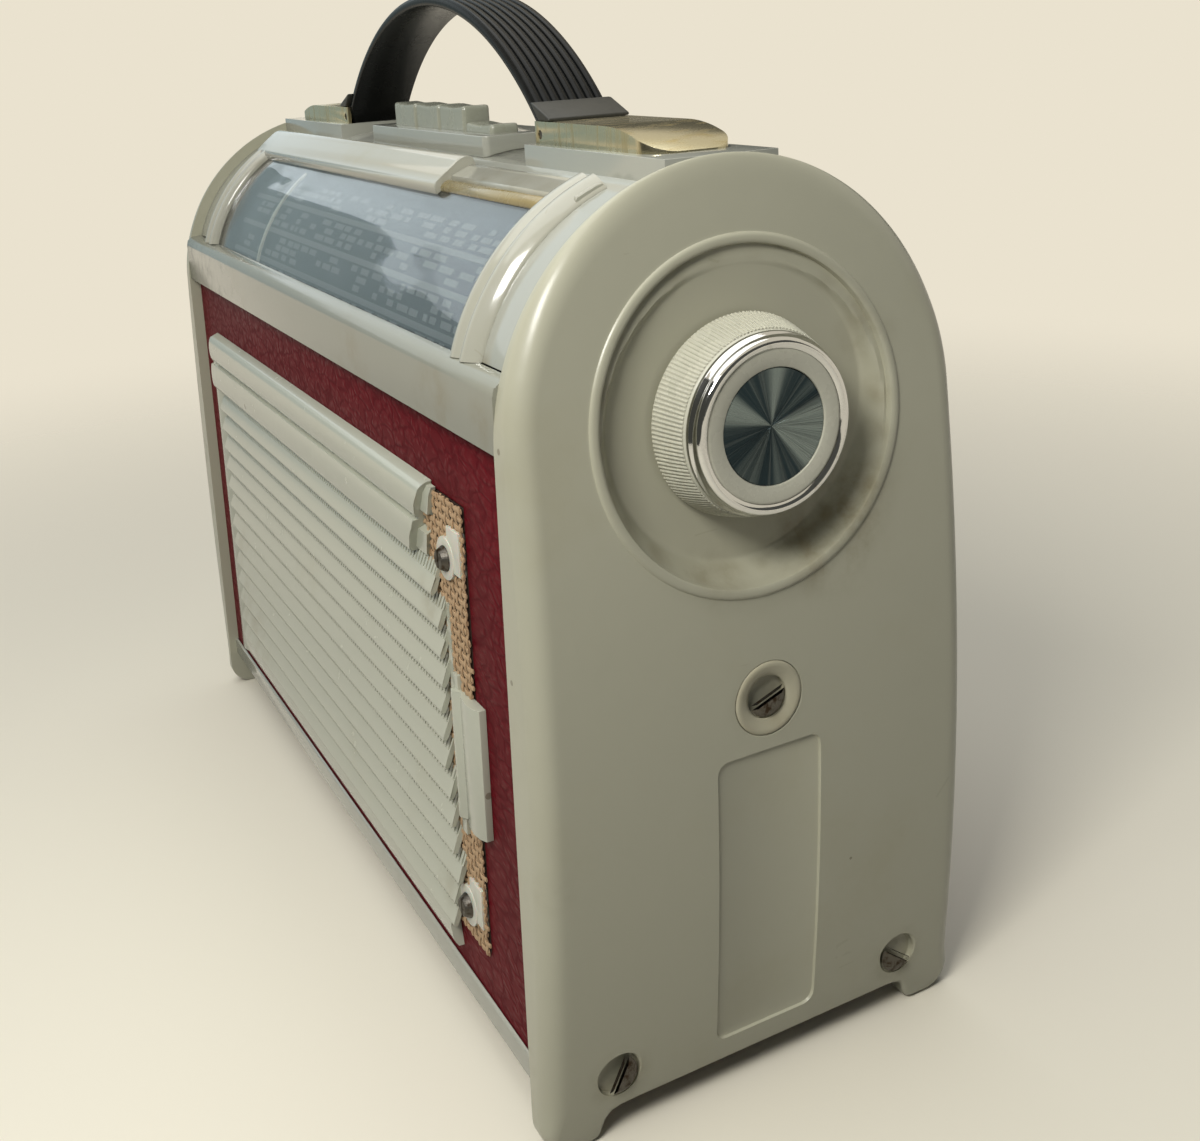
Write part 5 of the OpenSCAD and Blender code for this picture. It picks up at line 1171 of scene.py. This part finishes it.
# The cone's colour holds painted reflections: dark and lighter wedges round the axis, and lighter radial
# streaks of painted sheen.
streaks_and_sheen = noise(tree, spread, 9.0, 6.0, Roughness=0.7)
wide = noise(tree, spread, 1.6, 1.0)
dark = mixed(tree, remap(tree, wide, 0.4, 0.62), (0.020, 0.034, 0.042), (0.19, 0.23, 0.23))
colour = mixed(tree, remap(tree, streaks_and_sheen, 0.45, 0.85, 0.0, 0.5), dark, (0.25, 0.27, 0.26))
tree.links.new(colour, shader.inputs["Base Color"])
tree.links.new(remap(tree, streaks_and_sheen, 0.3, 0.7, 0.16, 0.32, False), shader.inputs["Roughness"])
shader.inputs["Metallic"].default_value = 1.0
bumped(tree, shader, streaks_and_sheen, 0.00025)


def on_shaft(name, profile, side):
    """A form turned about the knob's shaft, at the right end (side 1) or the left end (side -1)."""
    points, faces = turned(profile, 0, KNOB_Z, 128)
    return closed_mesh(name, [(side * x, y, z) for x, y, z in points], faces)


FLUTES = 144
for side, cad in ((1, "tuning_knob"), (-1, "volume_knob")):
    flute_rows = []
    for x, r in ((SKIRT_X + 0.5, 18.94), (SKIRT_X + 4.2, 18.08), (RING_X - 0.5, 17.1)):
        flute_rows.append([(side * x, a, r + b) for a, b in flute])
    flutes = repeated(cad + "_flutes", *lofted(flute_rows), [(0, 0, KNOB_Z)] * FLUTES,
                      [2 * math.pi * i / FLUTES for i in range(FLUTES)], knob_plastic)
    moulding = joined(cad + "_moulding", on_shaft(cad + "_hub", body_profile, side), flutes)
    piece(cad + "_moulding", moulding, knob_plastic, cad, [cad], 40)
    piece(cad + "_plated_ring", on_shaft(cad + "_plated_ring", ring_profile, side), ring_plate,
          cad, [cad + "_ring"], 50)
    piece(cad + "_spun_cone", on_shaft(cad + "_spun_cone", disc_profile, side), spun_metal,
          cad, [cad + "_disc"], 30)
dress(bare_steel, "bare_steel", "tuning_shaft", "volume_shaft")


# Speaker: a plywood baffle with the round opening, and the speaker's pressed basket, paper cone and magnet.
# The basket is fixed to the back of the baffle.
def plain(name, colour, darker, roughness, scale=120.0, metallic=0.0):
    return metal(name, colour, darker, roughness, 0.5, scale, metallic, roughness + 0.1)


dress(plain("Baffle plywood", (0.33, 0.21, 0.11), (0.24, 0.14, 0.07), 0.7), "wood", "speaker_baffle")
dress(plain("Grey basket steel", (0.36, 0.36, 0.34), (0.25, 0.24, 0.22), 0.4, 90.0, 1.0), "bare_steel",
      "speaker_frame")
dress(plain("Black cone paper", (0.02, 0.02, 0.018), (0.035, 0.032, 0.028), 0.9, 300.0), "cone_paper",
      "speaker_cone")
dress(plain("Magnet steel", (0.22, 0.22, 0.23), (0.14, 0.13, 0.12), 0.45, 200.0, 1.0), "magnet",
      "speaker_magnet")


# Tuning drive: the drum pushed on the capacitor's spindle, the plates and their frame, and the volume
# control on its bracket.
dress(plain("Drum plastic", (0.60, 0.58, 0.48), (0.50, 0.46, 0.35), 0.4), "pointer", "drive_drum",
      "rod_holders")
dress(plain("Capacitor alloy", (0.62, 0.61, 0.57), (0.48, 0.46, 0.41), 0.35, 180.0, 1.0), "bare_steel",
      "capacitor_rotor", "capacitor_frame")
dress(plain("Brown pressed board", (0.16, 0.09, 0.04), (0.10, 0.055, 0.025), 0.5), "bakelite",
      "volume_control", "key_switch")


# Chassis and circuit: a folded zinc-plated plate between the caps' bosses, the circuit board with its
# screening cans and transformers, and the aerial rod with its two coils.
dress(plain("Zinc-plated sheet", (0.58, 0.57, 0.52), (0.45, 0.43, 0.38), 0.38, 60.0, 1.0), "bare_steel",
      "chassis")
dress(plain("Circuit board", (0.20, 0.11, 0.035), (0.15, 0.08, 0.03), 0.45, 80.0), "board", "circuit_board")
dress(plain("Can aluminium", (0.70, 0.70, 0.68), (0.55, 0.54, 0.51), 0.3, 150.0, 1.0), "cans", "if_cans")
dress(plain("Transformer iron", (0.12, 0.11, 0.10), (0.08, 0.07, 0.06), 0.5, 150.0, 1.0), "core",
      "transformers")
dress(plain("Grey ferrite", (0.035, 0.035, 0.038), (0.05, 0.05, 0.05), 0.5), "core", "ferrite_rod")
dress(plain("Copper winding", (0.60, 0.28, 0.13), (0.42, 0.18, 0.08), 0.35, 400.0, 1.0), "copper",
      "ferrite_coils")


# Batteries: two flat batteries wrapped in blue paper, in a pressed tray on the bottom board. A strip of
# spring brass over them makes the contacts.
dress(plain("Battery paper", (0.05, 0.12, 0.27), (0.04, 0.08, 0.18), 0.6, 60.0), "battery", "batteries")
dress(plain("Tray board", (0.09, 0.09, 0.08), (0.06, 0.06, 0.05), 0.7), "tray", "battery_tray")
dress(plain("Spring brass", (0.70, 0.56, 0.28), (0.52, 0.40, 0.20), 0.3, 140.0, 1.0), "spring_brass",
      "battery_contacts")


# Studio: a pale floor that fades into the same pale surroundings, a wide soft light overhead and two small
# ones before the right corner. Five cards, one bright, one slate and three dark, are seen only mirrored.
BACK = (0.823, 0.761, 0.624)
FLOOR_R, FLOOR_Z = 1.6, -0.0002
floor_points = [(0, 0, FLOOR_Z)]
for i in range(64):
    a = math.pi * i / 32
    floor_points.append((FLOOR_R * math.cos(a), FLOOR_R * math.sin(a), FLOOR_Z))
floor_mesh = bpy.data.meshes.new("studio_floor")
floor_mesh.from_pydata(floor_points, [], [(0, i + 1, (i + 1) % 64 + 1) for i in range(64)])
floor = bpy.data.objects.new("studio_floor", floor_mesh)
bpy.context.collection.objects.link(floor)
floor_finish, tree, shader, place = surface("Studio floor")


def plainly_seen(tree):
    """One for what the camera sees, also mirrored or through the lens, and nought for bounced light."""
    path = node(tree, "ShaderNodeLightPath")
    seen = math_node(tree, "ADD", path.outputs["Is Camera Ray"], path.outputs["Is Transmission Ray"], True)
    return math_node(tree, "ADD", seen, path.outputs["Is Glossy Ray"], True)


colour = mixed(tree, plainly_seen(tree), (0.30, 0.29, 0.26), (0.84, 0.785, 0.65))
tree.links.new(colour, shader.inputs["Base Color"])
shader.inputs["Roughness"].default_value = 0.9
shader.inputs["Specular IOR Level"].default_value = 0.1
far = node(tree, "ShaderNodeVectorMath", {0: place}, operation="LENGTH").outputs["Value"]
tree.links.new(remap(tree, far, 0.17, 0.7, 1.0, 0.0), shader.inputs["Alpha"])
floor_mesh.materials.append(floor_finish)

world = bpy.data.worlds.new("Studio surroundings")
bpy.context.scene.world = world
world.use_nodes = True
tree = world.node_tree
tree.nodes.clear()
shown = output(tree, "ShaderNodeBackground", {"Color": (*BACK, 1), "Strength": 1.0})
fill = output(tree, "ShaderNodeBackground", {"Color": (0.86, 0.92, 1.0, 1), "Strength": 0.10})
both = output(tree, "ShaderNodeMixShader", {0: plainly_seen(tree), 1: fill, 2: shown})
tree.links.new(both, node(tree, "ShaderNodeOutputWorld").inputs["Surface"])


def soft_light(name, place, aim, size, power, colour):
    lamp = bpy.data.lights.new(name, "AREA")
    lamp.shape, lamp.size, lamp.size_y = "RECTANGLE", size[0], size[1]
    lamp.energy, lamp.color = power, colour
    holder = bpy.data.objects.new(name, lamp)
    holder.location = place
    holder.rotation_mode = "QUATERNION"
    holder.rotation_quaternion = (Vector(aim) - Vector(place)).to_track_quat("-Z", "Y")
    bpy.context.collection.objects.link(holder)


def card(name, outline, colour, strength):
    """A flat card that the camera doesn't see and shiny surfaces do."""
    mesh = bpy.data.meshes.new(name)
    mesh.from_pydata(outline, [], [list(range(len(outline)))])
    holder = bpy.data.objects.new(name, mesh)
    bpy.context.collection.objects.link(holder)
    finish = bpy.data.materials.new(name)
    finish.use_nodes = True
    tree = finish.node_tree
    tree.nodes.clear()
    path = node(tree, "ShaderNodeLightPath")
    clear = output(tree, "ShaderNodeBsdfTransparent", {})
    lit = output(tree, "ShaderNodeEmission", {"Color": (*colour, 1), "Strength": strength})
    both = output(tree, "ShaderNodeMixShader", {0: path.outputs["Is Glossy Ray"], 1: clear, 2: lit})
    tree.links.new(both, node(tree, "ShaderNodeOutputMaterial").inputs["Surface"])
    mesh.materials.append(finish)


soft_light("Overhead panel", (-0.3, -0.3, 2.2), (0, 0, 0.1), (2.6, 2.2), 30.0, (0.97, 0.99, 1.0))
soft_light("Front panel", (0.40, -0.95, 0.85), (0, 0, 0.12), (0.45, 0.35), 2.2, (0.97, 0.98, 1.0))
soft_light("Near panel", (0.30, -0.28, 0.42), (0.13, -0.02, 0.15), (0.14, 0.12), 1.45, (1.0, 0.99, 0.95))
waves = [(0.42, 0.50), (0.2, 0.50), (0.02, 0.55), (-0.12, 0.62), (-0.2, 0.56), (-0.32, 0.70), (-0.46, 0.66),
         (-0.56, 0.52), (-0.7, 0.42), (-1.2, 0.38)]
card("Bright card", [(-1.6, y, z) for y, z in waves] + [(-1.6, -1.2, 2.3), (-1.6, 0.42, 2.3)],
     (0.86, 0.97, 1.0), 1.15)
card("Slate card", [(-1.75, 0.42, 0.0), (-1.75, 0.42, 1.0), (-1.75, -1.4, 1.0), (-1.75, -1.4, 0.0)],
     (0.37, 0.46, 0.46), 1.0)
card("Dark card", [(-1.5, 0.42, 0.24), (-0.2, 1.5, 0.24), (-0.2, 1.5, 0.95), (-1.5, 0.42, 0.95)],
     (0.06, 0.06, 0.05), 1.0)
card("Dark front card", [(-0.12, -0.42, 0.0), (0.75, -0.42, 0.0), (0.75, -0.42, 0.6), (-0.12, -0.42, 0.6)],
     (0.07, 0.07, 0.06), 1.0)
card("Dark side card", [(1.2, -1.2, 0.1), (1.2, 1.4, 0.1), (1.2, 1.4, 1.1), (1.2, -1.2, 1.1)],
     (0.09, 0.09, 0.08), 1.0)

# Camera: at the photograph's viewing angle, above the end with the tuning knob
yaw, pitch, roll = math.radians(62.66), math.radians(-14.14), math.radians(-3.06)
ahead = Vector((-math.sin(yaw) * math.cos(pitch), math.cos(yaw) * math.cos(pitch), math.sin(pitch)))
level = Vector((math.cos(yaw), math.sin(yaw), 0))
upright = level.cross(ahead)
across = level * math.cos(roll) + upright * math.sin(roll)
upright = -level * math.sin(roll) + upright * math.cos(roll)
# The focal length and the optical centre are in the photograph's pixels
PHOTO_W, PHOTO_H, FOCAL, CENTRE_X, CENTRE_Y = 1200, 1141, 1387.6, 594.8, 379.6
lens = bpy.data.cameras.new("Camera")
lens.sensor_width = 36.0
lens.lens = FOCAL / PHOTO_W * 36.0
lens.shift_x = (PHOTO_W / 2 - CENTRE_X) / PHOTO_W
lens.shift_y = (CENTRE_Y - PHOTO_H / 2) / PHOTO_W
camera = bpy.data.objects.new("Camera", lens)
camera.matrix_world = Matrix(((across.x, upright.x, -ahead.x, 0.3264),
                              (across.y, upright.y, -ahead.y, -0.1356),
                              (across.z, upright.z, -ahead.z, 0.209), (0, 0, 0, 1)))
bpy.context.collection.objects.link(camera)
bpy.context.scene.camera = camera
bpy.context.scene.view_settings.view_transform = "Standard"
